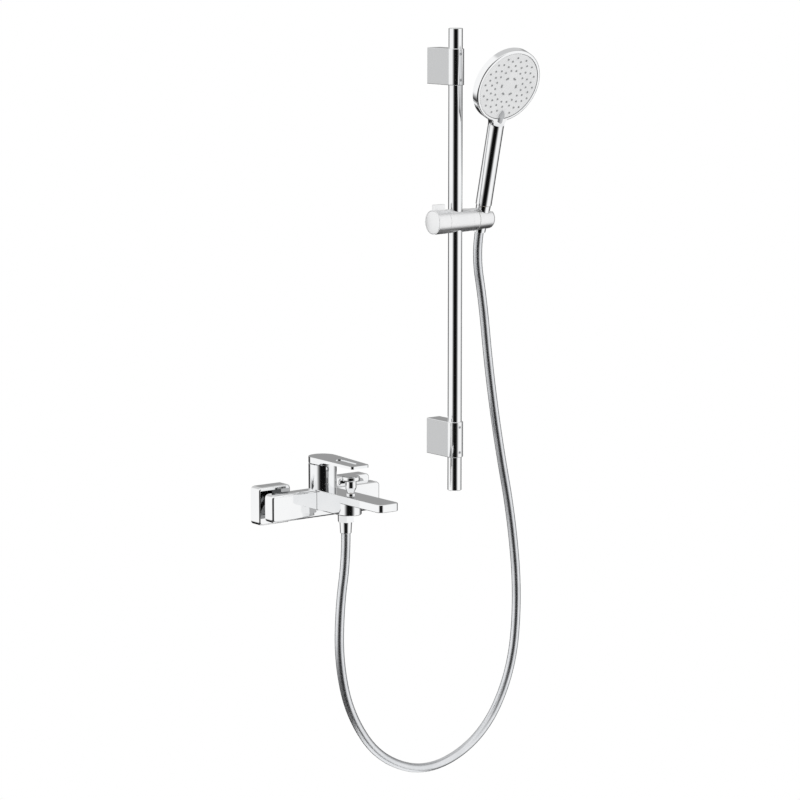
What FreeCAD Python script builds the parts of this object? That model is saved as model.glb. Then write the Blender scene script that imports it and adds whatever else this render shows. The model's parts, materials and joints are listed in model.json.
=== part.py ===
import FreeCAD, Part
import math
import os

# Shower mixer with riser rail, in millimetres.
# X runs to the right along the wall, -Y comes out of the wall and +Z is up.
# The origin lies on the wall plane, midway between the screw holes of the two rail brackets.

V = FreeCAD.Vector
ACROSS = V(1, 0, 0)
OUTWARD = V(0, -1, 0)
INWARD = V(0, 1, 0)
UP = V(0, 0, 1)
DOWN = V(0, 0, -1)

# Clearances
PRESSED = 0.02
RUNNING = 0.06
LOOSE = 0.3
EASY = 0.5

# How close an edge must lie to a face to count as on it, and how parallel to count as along it
NEAR = 0.1
PARALLEL = 0.999

HEXAGON_SIDES = 6

# Riser rail and its brackets
RAIL_DIAMETER = 22.0
RAIL_WALL = 1.2
RAIL_AXIS_OUT = 54.0
RAIL_TOP_Z = 349.0
RAIL_BOTTOM_Z = -371.0
END_CAP_RIM = 2.0
END_CAP_SPIGOT = 9.0
END_CAP_CHAMFER = 0.6
END_CAP_WALL = 1.6
BRACKET_SPACING = 580.0
BRACKET_HEIGHT = 56.0
BRACKET_WIDTH = 26.2
BRACKET_EDGE_ROUND = 1.0
BASE_WIDTH = 17.0
BASE_HEIGHT = 44.0
BASE_DEPTH = 15.0
WALL_SCREW_HOLE = 5.5
WALL_SCREW_HEAD_HOLE = 10.5
WALL_SCREW_HEAD_DEPTH = 9.0
RAIL_SCREW_DIAMETER = 5.0
RAIL_SCREW_OFFSET = 20.0
SCREW_SOCKET = 2.5
SCREW_SOCKET_DEPTH = 1.2
LOCK_SCREW_DIAMETER = 4.0
LOCK_SCREW_OUT = 9.0
LOCK_SCREW_NOTCH = 3.0
LOCK_SCREW_ENTRY = 1.9
LOCK_SCREW_PROUD = 0.4

# Slider on the rail
SLIDER_Z = 52.5
SLIDER_BORE_GAP = 0.4
BUSH_WALL = 1.5
BUSH_HEIGHT = 25.4
BUSH_SLIT = 2.0
SLIDER_LEFT_X = -21.0
SLIDER_RIGHT_X = 24.0
SLIDER_RADIUS_LEFT = 18.5
SLIDER_RADIUS_RIGHT = 17.7
KNOB_LENGTH = 23.0
KNOB_RADIUS_OUTER = 19.1
KNOB_RADIUS_INNER = 18.6
KNOB_WALL = 2.6
KNOB_DISC_THICKNESS = 2.0
KNOB_DISC_RADIUS = 17.9
KNOB_FIN_HEIGHT = 8.5
KNOB_FIN_THICKNESS = 4.0
KNOB_FIN_ROUND = 1.2
KNOB_DISC_CHAMFER = 0.5
CLAMP_SCREW_DIAMETER = 8.0
CLAMP_PAD_DIAMETER = 12.0
CLAMP_PAD_LENGTH = 4.3
CLAMP_PAD_GAP = 0.14
COLLAR_LENGTH = 13.0
COLLAR_RADIUS = 17.4
COLLAR_CHAMFER = 0.4
HOLDER_LENGTH = 31.8
HOLDER_BOSS_RADIUS = 9.0
HOLDER_BOSS_LENGTH = 12.8
HOLDER_BOSS_FLOOR = 8.0
HOSE_SLOT_WIDTH = 15.0
HOLDER_RADIUS = 17.3
HOLDER_END_RADIUS = 15.4
HOLDER_END_ROUND = 6.0
SOCKET_OVERSHOOT = 6.0
PIVOT_BOLT_DIAMETER = 6.0
PIVOT_HEAD_DIAMETER = 11.0
PIVOT_HEAD_LENGTH = 3.0
PIVOT_THREAD_LENGTH = 10.0
FRICTION_WASHER_THICKNESS = 0.8
FRICTION_WASHER_RADIUS = 16.6

# Hand shower
HANDSET_X = 52.0
HANDSET_LEAN = 13.3
SOCKET_TOP_RADIUS = 11.6
SOCKET_TAPER = 0.05
CONE_TOP = 22.9
CONE_BOTTOM = -20.5
HANDLE_RADIUS = 12.6
HANDLE_WALL = 1.4
HANDLE_BOTTOM = 23.1
HANDLE_TOP = 151.6
HANDLE_CHAMFER = 0.8
CONNECTOR_LENGTH = 22.0
CONNECTOR_THREAD_LENGTH = 9.0
CONNECTOR_BORE_RADIUS = 4.0
WATER_TUBE_RADIUS = 5.0
WATER_TUBE_WALL = 1.0
HEAD_CENTRE_UP = 218.0
HEAD_CENTRE_OUT = 16.5
HEAD_TILT = 8.5
HEAD_RADIUS = 59.5
HEAD_RIM_DEPTH = 12.3
HEAD_FRONT_ROUND = 2.0
HEAD_DEPTH = 20.5
HEAD_CROWN_RADIUS = 34.0
HEAD_SHOULDER_OUT = 5.0
HEAD_SHOULDER_BACK = 0.9
HEAD_WALL = 2.2
HEAD_DOME_RISE = 1.2
FACE_RADIUS = 54.5
FACE_THICKNESS = 2.4
FACE_INSET = 0.5
FACE_CHAMFER = 0.6
NOZZLE_MAT_THICKNESS = 1.6
NOZZLE_RADIUS = 1.4
NOZZLE_PROUD = 0.7
NOZZLE_ROOT = 0.2
NOZZLE_PITCH_PAIR = 2.6
NOZZLE_MAT_RADIUS = 50.0
CHAMBER_THICKNESS = 4.0
CHAMBER_FLOOR = 2.0
CHAMBER_RIM = 4.0
CHAMBER_PORT_RADIUS = 2.0
FACE_STUD_RADIUS = 5.0
FACE_STUD_ENTRY = 1.2
NECK_SPIGOT_LENGTH = 9.0
NECK_GROWTH = [0.01, 1.4, 8.0, 18.0, 28.0]
NECK_THINNING = [0.0, 0.2, 1.2, 2.4, 4.2]
NECK_LEAN = [0.0, 0.3, 1.2, 2.6, 4.2]
NECK_RISE = [PRESSED, 6.0, 13.5, 21.5, 31.0]
RECESS_RADIUS = 65.5
SELECTOR_TIP = 40.6
SELECTOR_WIDEST = 50.0
SELECTOR_END = 61.5
SELECTOR_HALF_WIDTH = 4.4
SELECTOR_STEM_HALF_WIDTH = 2.6
SELECTOR_PROUD = 3.4
SELECTOR_CHAMFER = 0.7
SELECTOR_SHOULDER = 0.4
SELECTOR_FULLNESS = 0.7

# Bath mixer
MIXER_X = -247.0
MIXER_Z = -362.5
SUPPLY_PITCH = 150.0
ECCENTRIC_DROP = 5.0
WALL_THREAD_RADIUS = 10.48
WALL_THREAD_LENGTH = 14.0
UNION_THREAD_RADIUS = 13.2
UNION_BORE_RADIUS = 7.5
UNION_SHOULDER_LENGTH = 9.0
UNION_SHOULDER_RADIUS = 16.4
WALL_COVER_SIZE = 58.4
WALL_COVER_DEPTH = 22.4
WALL_COVER_SKIN = 1.5
WALL_COVER_ROUND = 6.0
WALL_COVER_EDGE_ROUND = 3.0
BAR_LENGTH = 203.0
BAR_HEIGHT = 42.4
BAR_BACK_OUT = 34.0
BAR_FRONT_OUT = 53.0
BAR_END_ROUND = 6.0
BAR_EDGE_ROUND = 4.0
BAR_CORNER_ROUND = 1.2
UNION_NUT_FLATS = 30.0
UNION_NUT_RIM = 2.6
TAIL_RADIUS = 10.0
TAIL_FLANGE_RADIUS = 12.8
TAIL_FLANGE_THICKNESS = 2.0
INLET_WASHER_THICKNESS = 2.0
TOWER_RADIUS = 21.5
TOWER_OUT = 42.0
TOWER_RIM_CHAMFER = 0.4
POCKET_RADIUS = 17.7
POCKET_FLOOR_UP = 9.1
NUT_THREAD_RADIUS = 19.2
WATERWAY_RADIUS = 5.0
SIDE_PORT_OFFSET = 7.0
MIXED_PORT_OFFSET = 11.0
INLET_PORT_RADIUS = 3.0
SEAT_PORT_RADIUS = 2.8
DISC_PORT_RADIUS = 2.6
MIXED_PORT_RADIUS = 3.5
MIXED_CHANNEL_RADIUS = 4.5
MIXED_CHANNEL_DROP = 5.0
SPOUT_HALF_WIDTH = 18.7
SPOUT_THICKNESS = 12.2
SPOUT_TIP_OUT = 211.0
SPOUT_TIP_ROUND = 8.0
SPOUT_EDGE_ROUND = 1.2
OUTLET_BLOCK_DROP = 30.7
OUTLET_BLOCK_ROUND = 1.5
OUTLET_BLOCK_COVER = 2.0
OUTLET_BLOCK_NOSE_OUT = 110.0
SPOUT_CHANNEL_HEIGHT = 5.0
SPOUT_CHANNEL_WIDTH = 20.0
AERATOR_OUT = 194.0
AERATOR_RADIUS = 10.5
AERATOR_DEPTH = 5.5
AERATOR_WALL = 1.5
AERATOR_INSET = 0.3
AERATOR_GRID_INSET = 1.2
AERATOR_GRID_PITCH = 3.2
AERATOR_GRID_HOLE = 2.0

# Cartridge
CARTRIDGE_BASE_THICKNESS = 6.0
CERAMIC_THICKNESS = 4.0
CERAMIC_RADIUS = 14.5
MOVING_DISC_RADIUS = 11.2
DRIVER_THICKNESS = 4.0
CARTRIDGE_SKIN = 1.6
CARTRIDGE_HEIGHT = 38.5
CARTRIDGE_TOP_SKIN = 1.6
CARTRIDGE_NECK_RADIUS = 9.6
CARTRIDGE_NUT_BORE = 13.6
NUT_CROWN_RADIUS = 20.2
NUT_CROWN_BORE = 16.8
NUT_SHOULDER_HEIGHT = 6.0
NUT_NOTCH_RADIUS = 1.8
GUIDE_RADIUS = 15.4
GUIDE_SLOT_HALF_WIDTH = 4.3
MOVING_DISC_CAVITY_RADIUS = 6.0
SPINDLE_RADIUS = 4.0
SPINDLE_BALL_RADIUS = 3.0
SPINDLE_NECK_RADIUS = 2.1
SPINDLE_FOOT = 4.0
PIVOT_UP = 30.0
PIVOT_PIN_END_GAP = 1.0
PIVOT_PIN_RADIUS = 1.5
DRIVER_ARM = 12.5

# Lever
LEVER_SEAM_UP = 22.0
LEVER_HUB_HEIGHT = 9.2
LEVER_ROOF = 2.4
DOME_RADIUS = 29.65
LEVER_HOLLOW_RADIUS = 29.9
LEVER_REACH = 97.0
LEVER_TIP_DROP = 1.9
LEVER_FLAT = 8.0
LEVER_TIP_HALF_WIDTH = 17.0
LEVER_TIP_ROUND = 6.0
LEVER_BLADE_THICKNESS = 4.1
LEVER_ROOT_THICKNESS = 5.2
LEVER_ROOT_OUT = 4.0
LEVER_ROOT_IN = 3.0
LEVER_BOSS_RADIUS = 8.0
LEVER_BOSS_INSET = 1.0
LEVER_DISH_LENGTH = 46.0
LEVER_DISH_WIDTH = 13.0
LEVER_DISH_DEPTH = 1.0
LEVER_DISH_REACH = 59.6
LEVER_DISH_CLEAR = 6.0
GRUB_RADIUS = 2.5
GRUB_LENGTH = 3.6
INDEX_PLUG_LENGTH = 3.0

# Diverter
DIVERTER_OUT = 114.0
DIVERTER_CAP_RADIUS = 14.0
DIVERTER_CAP_HEIGHT = 7.6
DIVERTER_CAP_UP = 28.7
DIVERTER_CAP_TOP_ROUND = 2.2
DIVERTER_CAP_LOW_ROUND = 2.6
DIVERTER_STEM_TOP_RADIUS = 8.6
DIVERTER_STEM_LOW_RADIUS = 5.2
DIVERTER_TAPER_HEIGHT = 8.0
DIVERTER_ROD_ENTRY = 12.0
DIVERTER_FLANGE_THICKNESS = 1.2
DIVERTER_FLANGE_MARGIN = 1.0
BONNET_RADIUS = 6.2
BONNET_FLANGE_RADIUS = 7.4
BONNET_FLANGE_HEIGHT = 2.4
BONNET_DEPTH = 6.0
BONNET_ROUND = 0.8
BONNET_WALL = 1.6
DIVERTER_ROD_RADIUS = 2.5
DIVERTER_CHAMBER_RADIUS = 7.6
DIVERTER_CHAMBER_DEPTH = 20.7
DIVERTER_PORT_RADIUS = 4.5
OUTLET_CHANNEL_RADIUS = 3.0
DIVERTER_WASHER_RADIUS = 6.6
DIVERTER_WASHER_THICKNESS = 3.0
BONNET_SEAL_THICKNESS = 1.8

# Hose and its fittings
OUTLET_OUT = 101.0
NIPPLE_THREAD_RADIUS = 10.4
NIPPLE_SPIGOT_RADIUS = 8.0
NIPPLE_SPIGOT_LENGTH = 4.6
NIPPLE_BORE_RADIUS = 5.6
HOSE_NUT_LENGTH = 12.5
HOSE_NUT_FLATS = 22.8
HOSE_NUT_SEAT = 2.5
HOSE_NUT_BEVEL = 1.4
HOSE_NUT_CORNER_GAP = 0.4
HOSE_PASSAGE_GAP = 1.0
NIPPLE_LENGTH = 8.0
HOSE_WASHER_THICKNESS = 2.0
CHECK_VALVE_LENGTH = 7.0
CHECK_VALVE_HOLE_RADIUS = 1.6
CHECK_VALVE_HOLE_OFFSET = 3.0
CHECK_VALVE_HOLE_COUNT = 3
FERRULE_LENGTH = 18.0
FERRULE_TOP_RADIUS = 9.5
FERRULE_LOW_RADIUS = 8.5
FERRULE_ROUND = 1.0
HOSE_DIAMETER = 14.0
HOSE_BORE = 9.0

# Route of the hose from the hand shower's cone nut to the ferrule under the mixer.
# The first two points follow the leaning socket and the last two stand over the outlet.
HOSE_FIRST_RUN = 38.0
HOSE_LAST_RUN = 42.0
HOSE_ARC_SHARE = 0.45
HOSE_MIDDLE = [
    (66.0, -41.5, -80.0),
    (77.0, -43.0, -185.0),
    (94.0, -47.0, -305.0),
    (118.0, -52.0, -430.0),
    (128.0, -57.0, -560.0),
    (110.0, -63.0, -680.0),
    (46.0, -69.0, -774.0),
    (-66.0, -77.0, -812.0),
    (-172.0, -87.0, -772.0),
    (-235.0, -94.0, -690.0),
    (-259.5, -99.0, -600.0),
    (-258.5, -101.0, -514.0),
]

# Spray nozzles: even rings, each with its own turn in degrees, and a ring of pairs inside them
NOZZLE_RING_RADII = [26.3, 34.2, 41.8, 47.3]
NOZZLE_RING_TURNS = [15.5, 4.7, 15.5, 4.7]
NOZZLE_RING_COUNT = 16
PAIR_RING_RADIUS = 14.2
PAIR_RING_COUNT = 6
PAIR_RING_TURN = 33.0

# Places that follow from the sizes above
RAIL_RADIUS = RAIL_DIAMETER / 2
BUSH_RADIUS = RAIL_RADIUS + RUNNING + BUSH_WALL
CAVITY_RADIUS = FACE_RADIUS + EASY
BAR_TOP_Z = MIXER_Z + BAR_HEIGHT / 2
OUTLET_BLOCK_BOTTOM_Z = BAR_TOP_Z - OUTLET_BLOCK_DROP
POCKET_FLOOR_Z = MIXER_Z + POCKET_FLOOR_UP
CARTRIDGE_TOP_Z = POCKET_FLOOR_Z + CARTRIDGE_HEIGHT
PIVOT_Z = POCKET_FLOOR_Z + PIVOT_UP
LEVER_SEAM_Z = PIVOT_Z + LEVER_SEAM_UP
LEVER_TOP_Z = LEVER_SEAM_Z + LEVER_HUB_HEIGHT
LEVER_BOSS_BOTTOM_Z = LEVER_SEAM_Z + LEVER_BOSS_INSET
SPINDLE_TOP_Z = LEVER_TOP_Z - LEVER_ROOF
DIVERTER_CAP_TOP_Z = BAR_TOP_Z + DIVERTER_CAP_UP
DIVERTER_CHAMBER_FLOOR_Z = BAR_TOP_Z - DIVERTER_CHAMBER_DEPTH
BAR_DEPTH_CENTRE = (BAR_BACK_OUT + BAR_FRONT_OUT) / 2
LEFT_SUPPLY_X = MIXER_X - SUPPLY_PITCH / 2
RIGHT_SUPPLY_X = MIXER_X + SUPPLY_PITCH / 2
TAIL_FACE_OUT = BAR_BACK_OUT - UNION_NUT_RIM - TAIL_FLANGE_THICKNESS - 2 * PRESSED - EASY
UNION_FACE_OUT = TAIL_FACE_OUT - INLET_WASHER_THICKNESS
CLAMP_PAD_X = -BUSH_RADIUS - CLAMP_PAD_GAP - CLAMP_PAD_LENGTH
WASHER_X = SLIDER_RIGHT_X + COLLAR_LENGTH
HOLDER_X = WASHER_X + FRICTION_WASHER_THICKNESS + RUNNING
BOLT_HEAD_X = HOLDER_X - HOLDER_BOSS_LENGTH + HOLDER_BOSS_FLOOR
KNOB_X = SLIDER_LEFT_X - LOOSE
CERAMIC_Z = POCKET_FLOOR_Z + CARTRIDGE_BASE_THICKNESS
MOVING_DISC_Z = CERAMIC_Z + CERAMIC_THICKNESS + PRESSED
DRIVER_Z = MOVING_DISC_Z + CERAMIC_THICKNESS
GUIDE_Z = DRIVER_Z + DRIVER_THICKNESS + RUNNING
TOWER_TOP_Z = PIVOT_Z + math.sqrt(DOME_RADIUS ** 2 - TOWER_RADIUS ** 2)
GRUB_Z = (LEVER_BOSS_BOTTOM_Z + SPINDLE_TOP_Z) / 2
FERRULE_BOTTOM_Z = OUTLET_BLOCK_BOTTOM_Z - HOSE_NUT_LENGTH - PRESSED - FERRULE_LENGTH


def cylinder(radius, length, start, direction=UP):
    return Part.makeCylinder(radius, length, start, direction)


def ring(outer, inner, length, start, direction=UP):
    hole_start = start - direction
    return cylinder(outer, length, start, direction).cut(cylinder(inner, length + 2, hole_start, direction))


def cone(start_radius, end_radius, length, start, direction=UP):
    return Part.makeCone(start_radius, end_radius, length, start, direction)


def block(low, high):
    size = high - low
    return Part.makeBox(size.x, size.y, size.z, low)


def hexagon(flats, length, start, direction):
    corner = flats / math.sqrt(3)
    points = []
    for side in range(HEXAGON_SIDES + 1):
        angle = 2 * math.pi * side / HEXAGON_SIDES
        points.append(V(corner * math.cos(angle), corner * math.sin(angle), 0))
    face = Part.Face(Part.makePolygon(points))
    prism = face.extrude(V(0, 0, length))
    prism.Placement = FreeCAD.Placement(start, FreeCAD.Rotation(UP, direction))
    return prism


def edges_along(shape, direction, keep=None):
    found = []
    for edge in shape.Edges:
        if edge.Curve.TypeId != "Part::GeomLine":
            continue
        if abs(edge.tangentAt(edge.FirstParameter).dot(direction)) < PARALLEL:
            continue
        if keep is None or keep(edge.CenterOfMass):
            found.append(edge)
    return found


def full_circles(shape, keep=None):
    """Edges that run all the way round, and whose centre passes the test."""
    return [edge for edge in shape.Edges if edge.isClosed() and (keep is None or keep(edge.CenterOfMass))]


def export(name, *solids):
    shape = solids[0] if len(solids) == 1 else Part.makeCompound(list(solids))
    shape.exportStep("parts/" + name + ".step")
    pieces = len(shape.Solids)
    print(name, "solids", pieces, "valid", shape.isValid(), "volume", round(shape.Volume, 1))


# Riser rail

def make_rail():
    start = V(0, -RAIL_AXIS_OUT, RAIL_BOTTOM_Z + END_CAP_RIM)
    length = RAIL_TOP_Z - RAIL_BOTTOM_Z - 2 * END_CAP_RIM
    return ring(RAIL_RADIUS, RAIL_RADIUS - RAIL_WALL, length, start)


def make_end_cap(end_z, direction):
    rim = cylinder(RAIL_RADIUS, END_CAP_RIM, V(0, -RAIL_AXIS_OUT, end_z), direction)
    outer = full_circles(rim, lambda c: abs(c.z - end_z) < NEAR)
    rim = rim.makeChamfer(END_CAP_CHAMFER, outer)
    seat = V(0, -RAIL_AXIS_OUT, end_z) + direction * END_CAP_RIM
    spigot_radius = RAIL_RADIUS - RAIL_WALL - PRESSED
    return rim.fuse(ring(spigot_radius, spigot_radius - END_CAP_WALL, END_CAP_SPIGOT, seat, direction))


def bracket_outline(z, half_width, reach):
    left_wall = V(-half_width, 0, z)
    left_front = V(-half_width, -reach, z)
    nose = V(0, -reach - half_width, z)
    right_front = V(half_width, -reach, z)
    right_wall = V(half_width, 0, z)
    edges = [
        Part.LineSegment(left_wall, left_front).toShape(),
        Part.Arc(left_front, nose, right_front).toShape(),
        Part.LineSegment(right_front, right_wall).toShape(),
        Part.LineSegment(right_wall, left_wall).toShape(),
    ]
    return Part.Face(Part.Wire(edges))


def make_bracket(centre_z):
    low_z = centre_z - BRACKET_HEIGHT / 2
    body = bracket_outline(low_z, BRACKET_WIDTH / 2, RAIL_AXIS_OUT).extrude(V(0, 0, BRACKET_HEIGHT))
    rims = []
    for edge in body.Edges:
        flat = edge.BoundBox.ZLength < 0.01
        if flat and edge.CenterOfMass.y < -1:
            rims.append(edge)
    body = body.makeFillet(BRACKET_EDGE_ROUND, rims)
    body = body.cut(cylinder(RAIL_RADIUS + PRESSED, BRACKET_HEIGHT + 2, V(0, -RAIL_AXIS_OUT, low_z - 1)))
    half = BASE_WIDTH / 2 + PRESSED
    tall = BASE_HEIGHT / 2 + PRESSED
    pocket = block(V(-half, -BASE_DEPTH - PRESSED, centre_z - tall), V(half, 1, centre_z + tall))
    body = body.cut(pocket)
    for side in (-1, 1):
        hole = V(0, -RAIL_AXIS_OUT, centre_z + side * RAIL_SCREW_OFFSET)
        body = body.cut(cylinder(RAIL_SCREW_DIAMETER / 2, BRACKET_WIDTH, hole, OUTWARD))
    access = V(0, -LOCK_SCREW_OUT, low_z - 1)
    return body.cut(cylinder(LOCK_SCREW_DIAMETER / 2, BRACKET_HEIGHT / 2, access))


def make_wall_base(centre_z):
    half = BASE_WIDTH / 2
    tall = BASE_HEIGHT / 2
    base = block(V(-half, -BASE_DEPTH, centre_z - tall), V(half, 0, centre_z + tall))
    base = base.cut(cylinder(WALL_SCREW_HOLE / 2, BASE_DEPTH + 2, V(0, 1, centre_z), OUTWARD))
    head_start = V(0, -(BASE_DEPTH - WALL_SCREW_HEAD_DEPTH), centre_z)
    base = base.cut(cylinder(WALL_SCREW_HEAD_HOLE / 2, BASE_DEPTH, head_start, OUTWARD))
    notch = V(0, -LOCK_SCREW_OUT, centre_z - tall - 1)
    return base.cut(cylinder(LOCK_SCREW_DIAMETER / 2, LOCK_SCREW_NOTCH, notch))


def make_socket_screw(radius, length, start, direction):
    screw = cylinder(radius, length, start, direction)
    socket_start = start + direction * (length - SCREW_SOCKET_DEPTH)
    return screw.cut(hexagon(SCREW_SOCKET, SCREW_SOCKET_DEPTH + 1, socket_start, direction))


def make_rail_screws():
    screws = []
    length = BRACKET_WIDTH / 2 - RAIL_RADIUS - PRESSED
    for bracket in (-1, 1):
        for side in (-1, 1):
            z = bracket * BRACKET_SPACING / 2 + side * RAIL_SCREW_OFFSET
            start = V(0, -RAIL_AXIS_OUT - RAIL_RADIUS, z)
            screws.append(make_socket_screw(RAIL_SCREW_DIAMETER / 2 - PRESSED, length, start, OUTWARD))
    return screws


def make_lock_screws():
    screws = []
    reach = (BRACKET_HEIGHT - BASE_HEIGHT) / 2 + LOCK_SCREW_ENTRY - LOCK_SCREW_PROUD
    for bracket in (-1, 1):
        top = bracket * BRACKET_SPACING / 2 - BASE_HEIGHT / 2 + LOCK_SCREW_ENTRY
        start = V(0, -LOCK_SCREW_OUT, top)
        screws.append(make_socket_screw(LOCK_SCREW_DIAMETER / 2 - PRESSED, reach, start, DOWN))
    return screws


# Slider

def slider_point(x):
    return V(x, -RAIL_AXIS_OUT, SLIDER_Z)


def make_slider_body():
    length = SLIDER_RIGHT_X - SLIDER_LEFT_X
    body = cone(SLIDER_RADIUS_LEFT, SLIDER_RADIUS_RIGHT, length, slider_point(SLIDER_LEFT_X), ACROSS)
    tall = 2 * SLIDER_RADIUS_LEFT + 2
    body = body.cut(cylinder(RAIL_RADIUS + SLIDER_BORE_GAP, tall, slider_point(0) - UP * (tall / 2)))
    pocket = BUSH_HEIGHT + 2 * LOOSE
    body = body.cut(cylinder(BUSH_RADIUS + RUNNING, pocket, slider_point(0) - UP * (pocket / 2)))
    pad_length = CLAMP_PAD_LENGTH + BUSH_WALL + LOOSE
    pad_start = slider_point(CLAMP_PAD_X - LOOSE)
    body = body.cut(cylinder(CLAMP_PAD_DIAMETER / 2 + RUNNING, pad_length, pad_start, ACROSS))
    screw_length = CLAMP_PAD_X - SLIDER_LEFT_X + 1
    screw_start = slider_point(SLIDER_LEFT_X - 1)
    body = body.cut(cylinder(CLAMP_SCREW_DIAMETER / 2 + RUNNING, screw_length, screw_start, ACROSS))
    bolt_x = SLIDER_RIGHT_X - PIVOT_THREAD_LENGTH
    bolt_radius = PIVOT_BOLT_DIAMETER / 2 + PRESSED
    return body.cut(cylinder(bolt_radius, PIVOT_THREAD_LENGTH + 1, slider_point(bolt_x), ACROSS))


def make_slider_bush():
    """Split liner that slides on the rail and is squeezed by the clamp pad."""
    start = slider_point(0) - UP * (BUSH_HEIGHT / 2)
    bush = ring(BUSH_RADIUS, RAIL_RADIUS + RUNNING, BUSH_HEIGHT, start)
    half = BUSH_SLIT / 2
    slit = block(start + V(-half, 0, -1), start + V(half, BUSH_RADIUS + 1, BUSH_HEIGHT + 1))
    return bush.cut(slit)


def make_clamp_pad():
    return cylinder(CLAMP_PAD_DIAMETER / 2, CLAMP_PAD_LENGTH, slider_point(CLAMP_PAD_X), ACROSS)


def make_clamp_screw():
    tail_x = KNOB_X - KNOB_LENGTH + KNOB_WALL
    length = CLAMP_PAD_X - PRESSED - tail_x
    return cylinder(CLAMP_SCREW_DIAMETER / 2, length, slider_point(tail_x), ACROSS)


def make_knob():
    outer_x = KNOB_X - KNOB_LENGTH
    knob = cone(KNOB_RADIUS_OUTER, KNOB_RADIUS_INNER, KNOB_LENGTH, slider_point(outer_x), ACROSS)
    hollow_start = slider_point(outer_x + 2 * KNOB_WALL)
    boss_radius = CLAMP_SCREW_DIAMETER / 2 + KNOB_WALL
    knob = knob.cut(ring(KNOB_RADIUS_INNER - KNOB_WALL, boss_radius, KNOB_LENGTH, hollow_start, ACROSS))
    screw_start = slider_point(outer_x + KNOB_WALL)
    knob = knob.cut(cylinder(CLAMP_SCREW_DIAMETER / 2 + PRESSED, KNOB_LENGTH, screw_start, ACROSS))
    disc_seat = cylinder(KNOB_DISC_RADIUS, KNOB_DISC_THICKNESS + 1, slider_point(outer_x - 1), ACROSS)
    knob = knob.cut(disc_seat)
    fin_low = slider_point(outer_x) + V(0, -KNOB_FIN_THICKNESS / 2, KNOB_DISC_RADIUS + LOOSE)
    fin_high = slider_point(KNOB_X) + V(0, KNOB_FIN_THICKNESS / 2, KNOB_RADIUS_INNER + KNOB_FIN_HEIGHT)
    fin = block(fin_low, fin_high)
    fin = fin.makeFillet(KNOB_FIN_ROUND, edges_along(fin, INWARD, lambda c: c.z > fin_high.z - 1))
    return knob.fuse(fin).removeSplitter()


def make_knob_disc():
    start = slider_point(KNOB_X - KNOB_LENGTH)
    disc = cylinder(KNOB_DISC_RADIUS - PRESSED, KNOB_DISC_THICKNESS, start, ACROSS)
    rim = full_circles(disc, lambda c: abs(c.x - start.x) < NEAR)
    return disc.makeChamfer(KNOB_DISC_CHAMFER, rim)


def make_friction_washer():
    hole = HOLDER_BOSS_RADIUS + RUNNING
    return ring(FRICTION_WASHER_RADIUS, hole, FRICTION_WASHER_THICKNESS, slider_point(WASHER_X), ACROSS)


def make_collar():
    length = COLLAR_LENGTH - PRESSED
    body = cylinder(COLLAR_RADIUS, length, slider_point(SLIDER_RIGHT_X), ACROSS)
    body = body.makeChamfer(COLLAR_CHAMFER, full_circles(body))
    bore_start = slider_point(SLIDER_RIGHT_X - 1)
    return body.cut(cylinder(HOLDER_BOSS_RADIUS + RUNNING, COLLAR_LENGTH + 2, bore_start, ACROSS))


def make_pivot_bolt():
    """Screwed into the slider body, its head holds the holder's boss inside the collar."""
    start_x = SLIDER_RIGHT_X - PIVOT_THREAD_LENGTH
    head_x = BOLT_HEAD_X + RUNNING
    shank = cylinder(PIVOT_BOLT_DIAMETER / 2, head_x - start_x, slider_point(start_x), ACROSS)
    head = cylinder(PIVOT_HEAD_DIAMETER / 2, PIVOT_HEAD_LENGTH, slider_point(head_x), ACROSS)
    key_start = slider_point(head_x + SCREW_SOCKET_DEPTH)
    key = hexagon(PIVOT_HEAD_DIAMETER / 2, PIVOT_HEAD_LENGTH, key_start, ACROSS)
    return shank.fuse(head).cut(key)


def holder_local(shape):
    """Places a shape drawn upright about the socket onto the leaning socket axis."""
    moved = shape.copy()
    moved.rotate(V(0, 0, 0), V(1, 0, 0), HANDSET_LEAN)
    moved.translate(slider_point(HANDSET_X))
    return moved


def socket_radius(height):
    return SOCKET_TOP_RADIUS + (height - CONE_TOP) * SOCKET_TAPER


def make_holder():
    """End of the slider: a boss that turns in the collar and a cone socket with a slot for the hose."""
    body = cone(HOLDER_RADIUS, HOLDER_END_RADIUS, HOLDER_LENGTH, slider_point(HOLDER_X), ACROSS)
    end_rim = [edge for edge in body.Edges if edge.BoundBox.XLength < 0.01 and
               edge.CenterOfMass.x > HOLDER_X + HOLDER_LENGTH - NEAR]
    body = body.makeFillet(HOLDER_END_ROUND, end_rim)
    boss_x = HOLDER_X - HOLDER_BOSS_LENGTH
    body = body.fuse(cylinder(HOLDER_BOSS_RADIUS, HOLDER_BOSS_LENGTH + 1, slider_point(boss_x), ACROSS))
    half_height = HOLDER_RADIUS + SOCKET_OVERSHOOT
    low_radius = socket_radius(-half_height) + LOOSE
    high_radius = socket_radius(half_height) + LOOSE
    bore = cone(low_radius, high_radius, 2 * half_height, V(0, 0, -half_height))
    half_slot = HOSE_SLOT_WIDTH / 2
    slot = block(V(0, -half_slot, -half_height), V(HOLDER_LENGTH, half_slot, half_height))
    body = body.cut(holder_local(bore)).cut(holder_local(slot))
    bolt_hole = cylinder(PIVOT_BOLT_DIAMETER / 2 + RUNNING, HOLDER_LENGTH, slider_point(boss_x - 1), ACROSS)
    head_length = HANDSET_X - BOLT_HEAD_X
    head_room = cylinder(PIVOT_HEAD_DIAMETER / 2 + LOOSE, head_length, slider_point(BOLT_HEAD_X), ACROSS)
    return body.cut(bolt_hole).cut(head_room)


# Hand shower, drawn upright: Z runs up the handle from the slider's axis, -Y faces the user.

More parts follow.
